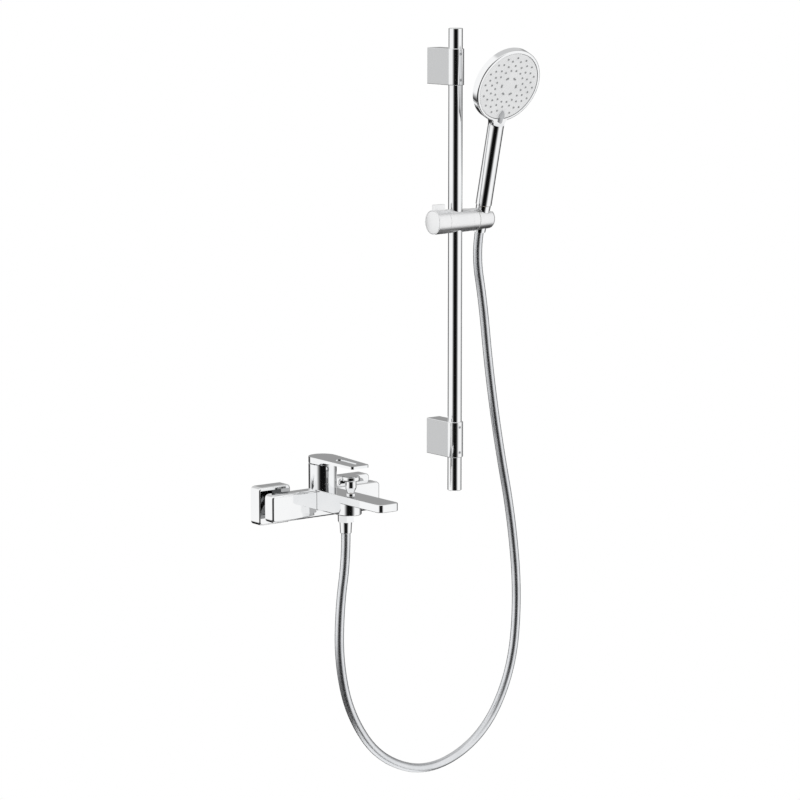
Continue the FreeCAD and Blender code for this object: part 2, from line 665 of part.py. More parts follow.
def make_cone_nut():
    length = CONE_TOP - CONE_BOTTOM
    body = cone(socket_radius(CONE_BOTTOM), socket_radius(CONE_TOP), length, V(0, 0, CONE_BOTTOM))
    bore = cylinder(HOSE_BORE / 2, length, V(0, 0, CONE_BOTTOM - 1))
    thread = cylinder(NIPPLE_THREAD_RADIUS + PRESSED, CONNECTOR_THREAD_LENGTH + 1 + EASY,
                      V(0, 0, CONE_TOP - CONNECTOR_THREAD_LENGTH - EASY))
    return body.cut(bore).cut(thread)


def make_connector():
    foot_z = CONE_TOP - CONNECTOR_THREAD_LENGTH
    foot = cylinder(NIPPLE_THREAD_RADIUS, CONNECTOR_THREAD_LENGTH, V(0, 0, foot_z))
    plug_radius = HANDLE_RADIUS - HANDLE_WALL - PRESSED
    plug = cylinder(plug_radius, CONNECTOR_LENGTH, V(0, 0, CONE_TOP))
    whole = foot.fuse(plug)
    bore = cylinder(CONNECTOR_BORE_RADIUS, CONNECTOR_LENGTH * 2, V(0, 0, foot_z - 1))
    seat_z = CONE_TOP + CONNECTOR_LENGTH / 2
    tube_seat = cylinder(WATER_TUBE_RADIUS + PRESSED, CONNECTOR_LENGTH, V(0, 0, seat_z))
    return whole.cut(bore).cut(tube_seat)


def make_handle():
    length = HANDLE_TOP - HANDLE_BOTTOM
    body = cylinder(HANDLE_RADIUS, length, V(0, 0, HANDLE_BOTTOM))
    rim = full_circles(body, lambda c: abs(c.z - HANDLE_BOTTOM) < NEAR)
    body = body.makeChamfer(HANDLE_CHAMFER, rim)
    return body.cut(cylinder(HANDLE_RADIUS - HANDLE_WALL, length + 2, V(0, 0, HANDLE_BOTTOM - 1)))


def make_water_tube():
    start = CONE_TOP + CONNECTOR_LENGTH / 2
    end = HANDLE_TOP + NECK_SPIGOT_LENGTH
    return ring(WATER_TUBE_RADIUS, WATER_TUBE_RADIUS - WATER_TUBE_WALL, end - start, V(0, 0, start))


def head_local(shape):
    """Places a shape drawn about the spray face, which looks along -Y, on the upright hand shower."""
    moved = shape.copy()
    moved.rotate(V(0, 0, 0), V(1, 0, 0), HEAD_TILT)
    moved.translate(V(0, -HEAD_CENTRE_OUT, HEAD_CENTRE_UP))
    return moved


def head_profile(rim, back, front_round):
    """Round head turned about Y: rounded front edge, deep rim, rounded shoulder and gently domed back."""
    crown = HEAD_CROWN_RADIUS - (HEAD_RADIUS - rim) / 2
    shoulder = V((rim + crown) / 2 + HEAD_SHOULDER_OUT, (HEAD_RIM_DEPTH + back) / 2 + HEAD_SHOULDER_BACK, 0)
    dome_radius = (crown ** 2 + HEAD_DOME_RISE ** 2) / (2 * HEAD_DOME_RISE)
    dome_circle = Part.Circle(V(0, back - dome_radius, 0), V(0, 0, 1), dome_radius)
    dome_start = math.atan2(dome_radius - HEAD_DOME_RISE, crown)
    bend = front_round * (1 - math.sqrt(0.5))
    flat_end = V(rim - front_round, 0, 0)
    rim_start = V(rim, front_round, 0)
    edges = [Part.LineSegment(V(0, 0, 0), flat_end).toShape()]
    if front_round > 0:
        edges.append(Part.Arc(flat_end, V(rim - bend, bend, 0), rim_start).toShape())
    edges += [
        Part.LineSegment(rim_start, V(rim, HEAD_RIM_DEPTH, 0)).toShape(),
        Part.Arc(V(rim, HEAD_RIM_DEPTH, 0), shoulder, V(crown, back - HEAD_DOME_RISE, 0)).toShape(),
        Part.ArcOfCircle(dome_circle, dome_start, math.pi / 2).toShape(),
        Part.LineSegment(V(0, back, 0), V(0, 0, 0)).toShape(),
    ]
    return Part.Face(Part.Wire(edges)).revolve(V(0, 0, 0), V(0, 1, 0), 360)


def neck_section(half_width, half_depth, out, height):
    """One closed ring of the neck: two half ellipses in a level plane."""
    ellipse = Part.Ellipse(V(0, 0, 0), max(half_width, half_depth), min(half_width, half_depth))
    wire = Part.Wire([ellipse.toShape()])
    if half_depth > half_width:
        wire.rotate(V(0, 0, 0), V(0, 0, 1), 90)
    wire.translate(V(0, -out, height))
    return wire


def make_neck():
    """Smooth flare from the round handle to the disc, wide where it meets the rim."""
    sections = []
    for growth, thinning, lean, rise in zip(NECK_GROWTH, NECK_THINNING, NECK_LEAN, NECK_RISE):
        half_width = HANDLE_RADIUS + growth
        sections.append(neck_section(half_width, HANDLE_RADIUS - thinning, lean, HANDLE_TOP + rise))
    return Part.makeLoft(sections, True, False)


def make_head_shell():
    """Disc, flared neck and spigot in one piece, hollow behind the spray face."""
    spigot_radius = HANDLE_RADIUS - HANDLE_WALL - PRESSED
    spigot = cylinder(spigot_radius, NECK_SPIGOT_LENGTH + 1, V(0, 0, HANDLE_TOP - NECK_SPIGOT_LENGTH))
    outside = head_profile(HEAD_RADIUS, HEAD_DEPTH, HEAD_FRONT_ROUND)
    shell = head_local(outside).fuse(make_neck()).fuse(spigot)
    shell = shell.cut(head_local(cylinder(RECESS_RADIUS, HEAD_RADIUS, V(0, 0, 0), OUTWARD)))
    shell = shell.cut(head_local(head_profile(CAVITY_RADIUS, HEAD_DEPTH - HEAD_WALL, 0)))
    tube_end = HANDLE_TOP + NECK_SPIGOT_LENGTH + EASY
    tube_start = HANDLE_TOP - NECK_SPIGOT_LENGTH - 1
    shell = shell.cut(cylinder(WATER_TUBE_RADIUS + PRESSED, tube_end - tube_start, V(0, 0, tube_start)))
    channel_end = HEAD_CENTRE_UP - HEAD_RADIUS + HEAD_RIM_DEPTH
    return shell.cut(cylinder(CONNECTOR_BORE_RADIUS, channel_end - tube_end + 1, V(0, 0, tube_end - 1)))


def nozzle_places():
    places = []
    for radius, turn in zip(NOZZLE_RING_RADII, NOZZLE_RING_TURNS):
        for step in range(NOZZLE_RING_COUNT):
            angle = math.radians(turn + 360.0 * step / NOZZLE_RING_COUNT)
            places.append((radius * math.sin(angle), radius * math.cos(angle)))
    for step in range(PAIR_RING_COUNT):
        angle = math.radians(PAIR_RING_TURN + 360.0 * step / PAIR_RING_COUNT)
        for side in (-0.5, 0.5):
            along = side * NOZZLE_PITCH_PAIR
            x = PAIR_RING_RADIUS * math.sin(angle) + along * math.cos(angle)
            z = PAIR_RING_RADIUS * math.cos(angle) - along * math.sin(angle)
            places.append((x, z))
    return [(x, z) for x, z in places if not near_selector(x, z)]


def near_selector(x, z):
    reach = SELECTOR_HALF_WIDTH + 2 * NOZZLE_RADIUS
    return abs(x) < reach and z < -SELECTOR_TIP + NOZZLE_RADIUS


def make_face_plate():
    """Pale spray face, turned on the chamber's centre stud by the selector."""
    plate = cylinder(FACE_RADIUS, FACE_THICKNESS, V(0, FACE_INSET, 0), INWARD)
    rim = full_circles(plate, lambda c: c.y < FACE_INSET + NEAR)
    plate = plate.makeChamfer(FACE_CHAMFER, rim)
    holes = []
    for x, z in nozzle_places():
        start = V(x, FACE_INSET - 1, z)
        holes.append(cylinder(NOZZLE_RADIUS + PRESSED, FACE_THICKNESS + 2, start, INWARD))
    plate = plate.cut(Part.makeCompound(holes))
    stud_start = V(0, FACE_INSET + FACE_THICKNESS - FACE_STUD_ENTRY, 0)
    return head_local(plate.cut(cylinder(FACE_STUD_RADIUS + RUNNING, FACE_THICKNESS, stud_start, INWARD)))


def make_nozzle_mat():
    mat_y = FACE_INSET + FACE_THICKNESS
    mat = ring(NOZZLE_MAT_RADIUS, FACE_STUD_RADIUS + RUNNING, NOZZLE_MAT_THICKNESS, V(0, mat_y, 0), INWARD)
    nubs = []
    for x, z in nozzle_places():
        start = V(x, FACE_INSET - NOZZLE_PROUD, z)
        nubs.append(cylinder(NOZZLE_RADIUS, FACE_THICKNESS + NOZZLE_PROUD + NOZZLE_ROOT, start, INWARD))
    return head_local(mat.fuse(Part.makeCompound(nubs)))


def make_spray_chamber():
    """Fixed disc behind the spray face, with the stud that the face turns on."""
    start_y = FACE_INSET + FACE_THICKNESS + NOZZLE_MAT_THICKNESS + LOOSE
    radius = CAVITY_RADIUS - PRESSED
    disc = cylinder(radius, CHAMBER_THICKNESS, V(0, start_y, 0), INWARD)
    hollow_depth = CHAMBER_THICKNESS - CHAMBER_FLOOR
    hollow = ring(radius - CHAMBER_RIM, FACE_STUD_RADIUS, hollow_depth, V(0, start_y, 0), INWARD)
    disc = disc.cut(hollow)
    for step in range(PAIR_RING_COUNT):
        angle = math.radians(360.0 * step / PAIR_RING_COUNT)
        port = V(math.sin(angle), 0, math.cos(angle)) * (radius - 2 * CHAMBER_RIM) + V(0, start_y - 1, 0)
        disc = disc.cut(cylinder(CHAMBER_PORT_RADIUS, CHAMBER_THICKNESS + 2, port, INWARD))
    stud_y = FACE_INSET + FACE_THICKNESS - FACE_STUD_ENTRY + LOOSE
    stud = cylinder(FACE_STUD_RADIUS, start_y - stud_y + 1, V(0, stud_y, 0), INWARD)
    return head_local(disc.fuse(stud))


def selector_outline():
    """Leaf shape with its point towards the middle of the face and a narrow stem past the rim."""
    tip = V(0, 0, -SELECTOR_TIP)
    wide_z = -SELECTOR_WIDEST
    stem_z = -FACE_RADIUS
    end_z = -SELECTOR_END + SELECTOR_STEM_HALF_WIDTH
    shoulder = (SELECTOR_HALF_WIDTH + SELECTOR_STEM_HALF_WIDTH) / 2 + SELECTOR_SHOULDER
    bulge = SELECTOR_HALF_WIDTH * SELECTOR_FULLNESS
    bulge_z = (tip.z + wide_z) / 2
    middle_z = (wide_z + stem_z) / 2
    left_wide = V(-SELECTOR_HALF_WIDTH, 0, wide_z)
    right_wide = V(SELECTOR_HALF_WIDTH, 0, wide_z)
    left_stem = V(-SELECTOR_STEM_HALF_WIDTH, 0, stem_z)
    right_stem = V(SELECTOR_STEM_HALF_WIDTH, 0, stem_z)
    left_end = V(-SELECTOR_STEM_HALF_WIDTH, 0, end_z)
    right_end = V(SELECTOR_STEM_HALF_WIDTH, 0, end_z)
    edges = [
        Part.Arc(tip, V(bulge, 0, bulge_z), right_wide).toShape(),
        Part.Arc(right_wide, V(shoulder, 0, middle_z), right_stem).toShape(),
        Part.LineSegment(right_stem, right_end).toShape(),
        Part.Arc(right_end, V(0, 0, -SELECTOR_END), left_end).toShape(),
        Part.LineSegment(left_end, left_stem).toShape(),
        Part.Arc(left_stem, V(-shoulder, 0, middle_z), left_wide).toShape(),
        Part.Arc(left_wide, V(-bulge, 0, bulge_z), tip).toShape(),
    ]
    return Part.Face(Part.Wire(edges))


def make_selector():
    """Grey tab on the spray face that reaches over the rim, clear of it by a loose gap."""
    outline = selector_outline()
    outline.translate(V(0, -SELECTOR_PROUD, 0))
    tab = outline.extrude(V(0, SELECTOR_PROUD + FACE_INSET, 0))
    front = [edge for edge in tab.Edges if edge.BoundBox.YLength < 0.01 and
             edge.CenterOfMass.y < -SELECTOR_PROUD + NEAR]
    tab = tab.makeChamfer(SELECTOR_CHAMFER, front)
    beyond = ring(RECESS_RADIUS, FACE_RADIUS - FACE_CHAMFER, FACE_INSET + LOOSE + 1, V(0, -LOOSE, 0), INWARD)
    return head_local(tab.cut(beyond))


# Mixer body

def inlet_point(x, out, drop=0.0):
    return V(x, -out, MIXER_Z - drop)


def make_bar():
    low = V(MIXER_X - BAR_LENGTH / 2, -BAR_FRONT_OUT, MIXER_Z - BAR_HEIGHT / 2)
    high = V(MIXER_X + BAR_LENGTH / 2, -BAR_BACK_OUT, BAR_TOP_Z)
    bar = block(low, high)
    bar = bar.makeFillet(BAR_END_ROUND, edges_along(bar, INWARD))
    front_rim = [edge for edge in bar.Edges if edge.BoundBox.YMax < -BAR_FRONT_OUT + NEAR]
    return bar.makeFillet(BAR_EDGE_ROUND, front_rim)


def make_spout():
    low = V(MIXER_X - SPOUT_HALF_WIDTH, -SPOUT_TIP_OUT, BAR_TOP_Z - SPOUT_THICKNESS)
    high = V(MIXER_X + SPOUT_HALF_WIDTH, -BAR_DEPTH_CENTRE, BAR_TOP_Z)
    slab = block(low, high)
    slab = slab.makeFillet(SPOUT_TIP_ROUND, edges_along(slab, UP, lambda c: c.y < -SPOUT_TIP_OUT + 1))
    rims = []
    for edge in slab.Edges:
        level = edge.BoundBox.ZLength < 0.01
        if level and edge.CenterOfMass.y < -BAR_DEPTH_CENTRE - 1:
            rims.append(edge)
    return slab.makeFillet(SPOUT_EDGE_ROUND, rims)


def make_outlet_block():
    left = MIXER_X - SPOUT_HALF_WIDTH
    right = MIXER_X + SPOUT_HALF_WIDTH
    z = OUTLET_BLOCK_BOTTOM_Z
    back = -BAR_DEPTH_CENTRE
    nose = -OUTLET_BLOCK_NOSE_OUT
    edges = [
        Part.LineSegment(V(left, back, z), V(left, nose, z)).toShape(),
        Part.Arc(V(left, nose, z), V(MIXER_X, nose - SPOUT_HALF_WIDTH, z), V(right, nose, z)).toShape(),
        Part.LineSegment(V(right, nose, z), V(right, back, z)).toShape(),
        Part.LineSegment(V(right, back, z), V(left, back, z)).toShape(),
    ]
    height = BAR_TOP_Z - OUTLET_BLOCK_COVER - z
    solid = Part.Face(Part.Wire(edges)).extrude(V(0, 0, height))
    rims = []
    for edge in solid.Edges:
        low = edge.BoundBox.ZMax < z + NEAR
        if low and edge.CenterOfMass.y < back - 1:
            rims.append(edge)
    return solid.makeFillet(OUTLET_BLOCK_ROUND, rims)


def make_tower():
    low_z = OUTLET_BLOCK_BOTTOM_Z
    tower = cylinder(TOWER_RADIUS, TOWER_TOP_Z - BAR_TOP_Z, V(MIXER_X, -TOWER_OUT, BAR_TOP_Z))
    rim = full_circles(tower, lambda c: c.z > TOWER_TOP_Z - NEAR)
    tower = tower.makeChamfer(TOWER_RIM_CHAMFER, rim)
    boss = cylinder(TOWER_RADIUS, BAR_TOP_Z - low_z, V(MIXER_X, -TOWER_OUT, low_z))
    reach = 2 * TOWER_RADIUS
    behind = block(V(MIXER_X - reach, -BAR_DEPTH_CENTRE, low_z), V(MIXER_X + reach, 0, BAR_TOP_Z))
    return tower.fuse(boss.common(behind))


def make_tails():
    shapes = []
    for x in (LEFT_SUPPLY_X, RIGHT_SUPPLY_X):
        shank_length = BAR_BACK_OUT - TAIL_FACE_OUT
        shapes.append(cylinder(TAIL_RADIUS, shank_length + 1, inlet_point(x, BAR_BACK_OUT + 1), INWARD))
        flange_start = inlet_point(x, TAIL_FACE_OUT + TAIL_FLANGE_THICKNESS)
        shapes.append(cylinder(TAIL_FLANGE_RADIUS, TAIL_FLANGE_THICKNESS, flange_start, INWARD))
    return shapes


def mixer_waterways():
    cuts = []
    tower = V(MIXER_X, -TOWER_OUT, 0)
    cuts.append(cylinder(POCKET_RADIUS, TOWER_TOP_Z - POCKET_FLOOR_Z + 1, tower + UP * POCKET_FLOOR_Z))
    nut_depth = TOWER_TOP_Z - CARTRIDGE_TOP_Z
    cuts.append(cylinder(NUT_THREAD_RADIUS, nut_depth + 1, tower + UP * CARTRIDGE_TOP_Z))
    for x in (LEFT_SUPPLY_X, RIGHT_SUPPLY_X):
        inlet_length = BAR_DEPTH_CENTRE - TAIL_FACE_OUT + 1
        cuts.append(cylinder(UNION_BORE_RADIUS, inlet_length, inlet_point(x, BAR_DEPTH_CENTRE), INWARD))
        side = 1 if x < MIXER_X else -1
        run = SUPPLY_PITCH / 2 - SIDE_PORT_OFFSET
        cuts.append(cylinder(WATERWAY_RADIUS, run, inlet_point(x, BAR_DEPTH_CENTRE), ACROSS * side))
        port = inlet_point(MIXER_X - side * SIDE_PORT_OFFSET, BAR_DEPTH_CENTRE)
        cuts.append(cylinder(INLET_PORT_RADIUS, POCKET_FLOOR_Z - MIXER_Z + 1, port))
    mixed_out = TOWER_OUT + MIXED_PORT_OFFSET
    mixed = V(MIXER_X, -mixed_out, POCKET_FLOOR_Z - MIXED_CHANNEL_DROP)
    cuts.append(cylinder(MIXED_PORT_RADIUS, MIXED_CHANNEL_DROP + 1, mixed))
    cuts.append(cylinder(MIXED_CHANNEL_RADIUS, DIVERTER_OUT - mixed_out, mixed, OUTWARD))
    chamber = V(MIXER_X, -DIVERTER_OUT, DIVERTER_CHAMBER_FLOOR_Z)
    bonnet_low = BAR_TOP_Z - BONNET_DEPTH
    cuts.append(cylinder(DIVERTER_CHAMBER_RADIUS, bonnet_low - DIVERTER_CHAMBER_FLOOR_Z, chamber))
    cuts.append(cylinder(BONNET_RADIUS, BONNET_DEPTH + 1, V(MIXER_X, -DIVERTER_OUT, bonnet_low)))
    channel_top = BAR_TOP_Z - (SPOUT_THICKNESS - SPOUT_CHANNEL_HEIGHT) / 2
    half = SPOUT_CHANNEL_WIDTH / 2
    channel_low = V(MIXER_X - half, -AERATOR_OUT - half / 2, channel_top - SPOUT_CHANNEL_HEIGHT)
    cuts.append(block(channel_low, V(MIXER_X + half, -DIVERTER_OUT - half / 2, channel_top)))
    aerator_low = BAR_TOP_Z - SPOUT_THICKNESS
    cuts.append(cylinder(AERATOR_RADIUS, AERATOR_DEPTH + 1, V(MIXER_X, -AERATOR_OUT, aerator_low - 1)))
    outlet = V(MIXER_X, -OUTLET_OUT, OUTLET_BLOCK_BOTTOM_Z - 1)
    outlet_top = OUTLET_BLOCK_BOTTOM_Z + NIPPLE_SPIGOT_LENGTH + EASY
    cuts.append(cylinder(NIPPLE_SPIGOT_RADIUS, outlet_top - outlet.z, outlet))
    port_length = DIVERTER_CHAMBER_FLOOR_Z - outlet_top + 1
    cuts.append(cylinder(DIVERTER_PORT_RADIUS, port_length, diverter_point(outlet_top)))
    cuts.append(cylinder(OUTLET_CHANNEL_RADIUS, DIVERTER_OUT - OUTLET_OUT, outlet_point(outlet_top), OUTWARD))
    return cuts


def round_inner_corners(body):
    """Small hollow round where the bar's front meets each side of the outlet block."""
    corners = []
    for edge in edges_along(body, UP):
        middle = edge.CenterOfMass
        at_front = abs(middle.y + BAR_FRONT_OUT) < 0.01
        at_side = abs(abs(middle.x - MIXER_X) - SPOUT_HALF_WIDTH) < 0.01
        if at_front and at_side:
            corners.append(edge)
    return body.makeFillet(BAR_CORNER_ROUND, corners)


def make_mixer_body():
    bar = make_bar().fuse(make_outlet_block())
    body = round_inner_corners(bar.removeSplitter())
    for piece in [make_spout(), make_tower(), *make_tails()]:
        body = body.fuse(piece)
    for space in mixer_waterways():
        body = body.cut(space)
    return body.removeSplitter()


def make_wall_cover(x):
    half = WALL_COVER_SIZE / 2
    cover = block(inlet_point(x - half, WALL_COVER_DEPTH, half), inlet_point(x + half, 0, -half))
    cover = cover.makeFillet(WALL_COVER_ROUND, edges_along(cover, INWARD))
    front = [edge for edge in cover.Edges if edge.BoundBox.YLength < 0.01 and
             edge.CenterOfMass.y < -WALL_COVER_DEPTH + NEAR]
    cover = cover.makeFillet(WALL_COVER_EDGE_ROUND, front)
    inner = half - WALL_COVER_SKIN
    hollow_out = WALL_COVER_DEPTH - WALL_COVER_SKIN
    hollow = block(inlet_point(x - inner, hollow_out, inner), inlet_point(x + inner, -1, -inner))
    hollow = hollow.makeFillet(WALL_COVER_ROUND - WALL_COVER_SKIN, edges_along(hollow, INWARD))
    hole_start = inlet_point(x, WALL_COVER_DEPTH - 2 * WALL_COVER_SKIN)
    hole = cylinder(UNION_THREAD_RADIUS + LOOSE, 4 * WALL_COVER_SKIN, hole_start, OUTWARD)
    return cover.cut(hollow).cut(hole)


def make_union(x):
    wall_end = cylinder(WALL_THREAD_RADIUS, WALL_THREAD_LENGTH, inlet_point(x, 0, ECCENTRIC_DROP), INWARD)
    shoulder = cylinder(UNION_SHOULDER_RADIUS, UNION_SHOULDER_LENGTH,
                        inlet_point(x, 0, ECCENTRIC_DROP / 2), OUTWARD)
    front_length = UNION_FACE_OUT - UNION_SHOULDER_LENGTH
    front = cylinder(UNION_THREAD_RADIUS, front_length, inlet_point(x, UNION_SHOULDER_LENGTH), OUTWARD)
    whole = wall_end.fuse(shoulder).fuse(front)
    middle = UNION_SHOULDER_LENGTH / 2
    back_start = inlet_point(x, middle, ECCENTRIC_DROP)
    back_bore = cylinder(UNION_BORE_RADIUS, WALL_THREAD_LENGTH + middle + 1, back_start, INWARD)
    front_bore = cylinder(UNION_BORE_RADIUS, UNION_FACE_OUT, inlet_point(x, middle), OUTWARD)
    return whole.cut(back_bore).cut(front_bore)


def make_union_nut(x):
    back_out = BAR_BACK_OUT - EASY
    front_out = WALL_COVER_DEPTH + LOOSE
    nut = hexagon(UNION_NUT_FLATS, back_out - front_out, inlet_point(x, back_out), INWARD)
    rim_inner_out = back_out - UNION_NUT_RIM
    nut = nut.cut(cylinder(TAIL_RADIUS + LOOSE, UNION_NUT_RIM + 2, inlet_point(x, back_out + 1), INWARD))
    return nut.cut(cylinder(UNION_THREAD_RADIUS + PRESSED, back_out, inlet_point(x, rim_inner_out), INWARD))


def make_inlet_washer(x):
    start = inlet_point(x, TAIL_FACE_OUT)
    return ring(TAIL_FLANGE_RADIUS - LOOSE, UNION_BORE_RADIUS, INLET_WASHER_THICKNESS, start, INWARD)


# Cartridge

def tower_point(z):
    return V(MIXER_X, -TOWER_OUT, z)


def make_cartridge_housing():
    outer = POCKET_RADIUS - PRESSED
    height = CARTRIDGE_TOP_Z - POCKET_FLOOR_Z
    housing = cylinder(outer, height, tower_point(POCKET_FLOOR_Z))
    hollow_height = height - CARTRIDGE_TOP_SKIN + 1
    hollow = cylinder(outer - CARTRIDGE_SKIN, hollow_height, tower_point(POCKET_FLOOR_Z - 1))
    neck_start = tower_point(CARTRIDGE_TOP_Z - 2 * CARTRIDGE_TOP_SKIN)
    return housing.cut(hollow).cut(cylinder(CARTRIDGE_NECK_RADIUS, height, neck_start))


def cartridge_ports(radius, start_z, height):
    ports = []
    for side in (-1, 1):
        start = V(MIXER_X + side * SIDE_PORT_OFFSET, -BAR_DEPTH_CENTRE, start_z)
        ports.append(cylinder(radius, height, start))
    ports.append(cylinder(radius, height, V(MIXER_X, -(TOWER_OUT + MIXED_PORT_OFFSET), start_z)))
    return ports


def make_cartridge_base():
    radius = POCKET_RADIUS - CARTRIDGE_SKIN - 2 * PRESSED
    base = cylinder(radius, CARTRIDGE_BASE_THICKNESS, tower_point(POCKET_FLOOR_Z))
    for port in cartridge_ports(SEAT_PORT_RADIUS, POCKET_FLOOR_Z - 1, CARTRIDGE_BASE_THICKNESS + 2):
        base = base.cut(port)
    return base


def make_fixed_disc():
    disc = cylinder(CERAMIC_RADIUS, CERAMIC_THICKNESS, tower_point(CERAMIC_Z))
    for port in cartridge_ports(DISC_PORT_RADIUS, CERAMIC_Z - 1, CERAMIC_THICKNESS + 2):
        disc = disc.cut(port)
    return disc


def make_moving_disc():
    disc = cylinder(MOVING_DISC_RADIUS, CERAMIC_THICKNESS, tower_point(MOVING_DISC_Z))
    cavity_start = tower_point(MOVING_DISC_Z - CERAMIC_THICKNESS / 2)
    return disc.cut(cylinder(MOVING_DISC_CAVITY_RADIUS, CERAMIC_THICKNESS, cavity_start))


def make_disc_driver():
    driver = cylinder(MOVING_DISC_RADIUS, DRIVER_THICKNESS, tower_point(DRIVER_Z))
    return driver.cut(cylinder(SPINDLE_BALL_RADIUS + LOOSE, DRIVER_THICKNESS + 2, tower_point(DRIVER_Z - 1)))


def make_spindle_guide():
    height = CARTRIDGE_TOP_Z - CARTRIDGE_TOP_SKIN - RUNNING - GUIDE_Z
    guide = cylinder(GUIDE_RADIUS, height, tower_point(GUIDE_Z))
    length = 2 * CARTRIDGE_NECK_RADIUS
    slot_low = tower_point(GUIDE_Z - 1) - V(GUIDE_SLOT_HALF_WIDTH, length / 2, 0)
    slot_high = tower_point(CARTRIDGE_TOP_Z) + V(GUIDE_SLOT_HALF_WIDTH, length / 2, 0)
    guide = guide.cut(block(slot_low, slot_high))
    pin_start = tower_point(PIVOT_Z) - ACROSS * GUIDE_RADIUS
    return guide.cut(cylinder(PIVOT_PIN_RADIUS + PRESSED, 2 * GUIDE_RADIUS, pin_start, ACROSS))


def make_pivot_pin():
    reach = GUIDE_RADIUS - PIVOT_PIN_END_GAP
    return cylinder(PIVOT_PIN_RADIUS, 2 * reach, tower_point(PIVOT_Z) - ACROSS * reach, ACROSS)


def make_lever_spindle():
    ball_z = PIVOT_Z - DRIVER_ARM
    foot_z = PIVOT_Z - SPINDLE_FOOT
    shaft = cylinder(SPINDLE_RADIUS, SPINDLE_TOP_Z - foot_z, tower_point(foot_z))
    neck = cylinder(SPINDLE_NECK_RADIUS, DRIVER_ARM, tower_point(ball_z))
    ball = Part.makeSphere(SPINDLE_BALL_RADIUS, tower_point(ball_z))
    whole = shaft.fuse(neck).fuse(ball)
    pin_start = tower_point(PIVOT_Z) - ACROSS * (2 * SPINDLE_RADIUS)
    pin_hole = cylinder(PIVOT_PIN_RADIUS + RUNNING, 4 * SPINDLE_RADIUS, pin_start, ACROSS)
    return whole.cut(pin_hole)


def make_cartridge_nut():
    """Threaded ring that holds the cartridge down, with a domed crown under the lever."""
    thread_height = TOWER_TOP_Z - CARTRIDGE_TOP_Z + PRESSED
    thread = cylinder(NUT_THREAD_RADIUS - PRESSED, thread_height, tower_point(CARTRIDGE_TOP_Z))
    crown = cylinder(NUT_CROWN_RADIUS, DOME_RADIUS, tower_point(TOWER_TOP_Z + PRESSED))
    nut = thread.fuse(crown).common(Part.makeSphere(DOME_RADIUS, tower_point(PIVOT_Z)))
    nut = nut.cut(cylinder(CARTRIDGE_NUT_BORE, 2 * thread_height, tower_point(CARTRIDGE_TOP_Z - 1)))
    shoulder = tower_point(CARTRIDGE_TOP_Z + NUT_SHOULDER_HEIGHT)
    nut = nut.cut(cylinder(NUT_CROWN_BORE, 2 * thread_height, shoulder))
    for step in range(4):
        angle = math.radians(45 + 90 * step)
        side = V(math.cos(angle), math.sin(angle), 0) * CARTRIDGE_NUT_BORE
        low = tower_point(CARTRIDGE_TOP_Z + NUT_SHOULDER_HEIGHT / 2) + side
        nut = nut.cut(cylinder(NUT_NOTCH_RADIUS, NUT_SHOULDER_HEIGHT, low))
    return nut


# Lever, with a round hub over the tower and a flat blade

def lever_plan():
    """Outline of the lever from above: a round hub and a blade that narrows to its rounded tip."""
    hub = cylinder(TOWER_RADIUS, LEVER_HUB_HEIGHT, tower_point(LEVER_SEAM_Z))
    root = tower_point(LEVER_SEAM_Z)
    tip = root + OUTWARD * LEVER_REACH
    points = [
        root - ACROSS * TOWER_RADIUS,
        tip - ACROSS * LEVER_TIP_HALF_WIDTH,
        tip + ACROSS * LEVER_TIP_HALF_WIDTH,
        root + ACROSS * TOWER_RADIUS,
        root - ACROSS * TOWER_RADIUS,
    ]
    blade = Part.Face(Part.makePolygon(points)).extrude(UP * LEVER_HUB_HEIGHT)
    corners = edges_along(blade, UP, lambda c: c.y < tip.y + 1)
    return hub.fuse(blade.makeFillet(LEVER_TIP_ROUND, corners))


def lever_side_profile():
    """Side view of the lever: full height at the hub, a thin blade that falls a little to its tip."""
    back = -TOWER_OUT + TOWER_RADIUS + 1
    tip = -TOWER_OUT - LEVER_REACH - 1
    root = -TOWER_OUT - TOWER_RADIUS
    top = LEVER_TOP_Z
    tip_top = top - LEVER_TIP_DROP
    x = MIXER_X - 2 * TOWER_RADIUS
    blade_root_z = top - LEVER_ROOT_THICKNESS
    points = [
        V(x, back, LEVER_SEAM_Z),
        V(x, back, top),
        V(x, -TOWER_OUT - LEVER_FLAT, top),
        V(x, tip, tip_top),
        V(x, tip, tip_top - LEVER_BLADE_THICKNESS),
        V(x, root - LEVER_ROOT_OUT, blade_root_z),
        V(x, root + LEVER_ROOT_IN, LEVER_SEAM_Z),
        V(x, back, LEVER_SEAM_Z),
    ]
    return Part.Face(Part.makePolygon(points)).extrude(V(4 * TOWER_RADIUS, 0, 0))


def lever_dish():
    """Shallow long dish in the blade's top, where the thumb rests."""
    half = LEVER_DISH_WIDTH / 2
    straight = LEVER_DISH_LENGTH / 2 - half
    centre_y = -TOWER_OUT - LEVER_DISH_REACH
    fall = LEVER_TIP_DROP / (LEVER_REACH + 1 - LEVER_FLAT)
    top_here = LEVER_TOP_Z - fall * (LEVER_DISH_REACH - LEVER_FLAT)
    low = V(MIXER_X - half, centre_y - straight, top_here - LEVER_DISH_DEPTH)
    high = V(MIXER_X + half, centre_y + straight, top_here + LEVER_DISH_CLEAR)
    dish = block(low, high)
    for side in (-1, 1):
        end = V(MIXER_X, centre_y + side * straight, low.z)
        dish = dish.fuse(cylinder(half, high.z - low.z, end))
    dish.rotate(V(MIXER_X, centre_y, top_here), ACROSS, math.degrees(math.atan(fall)))
    return dish


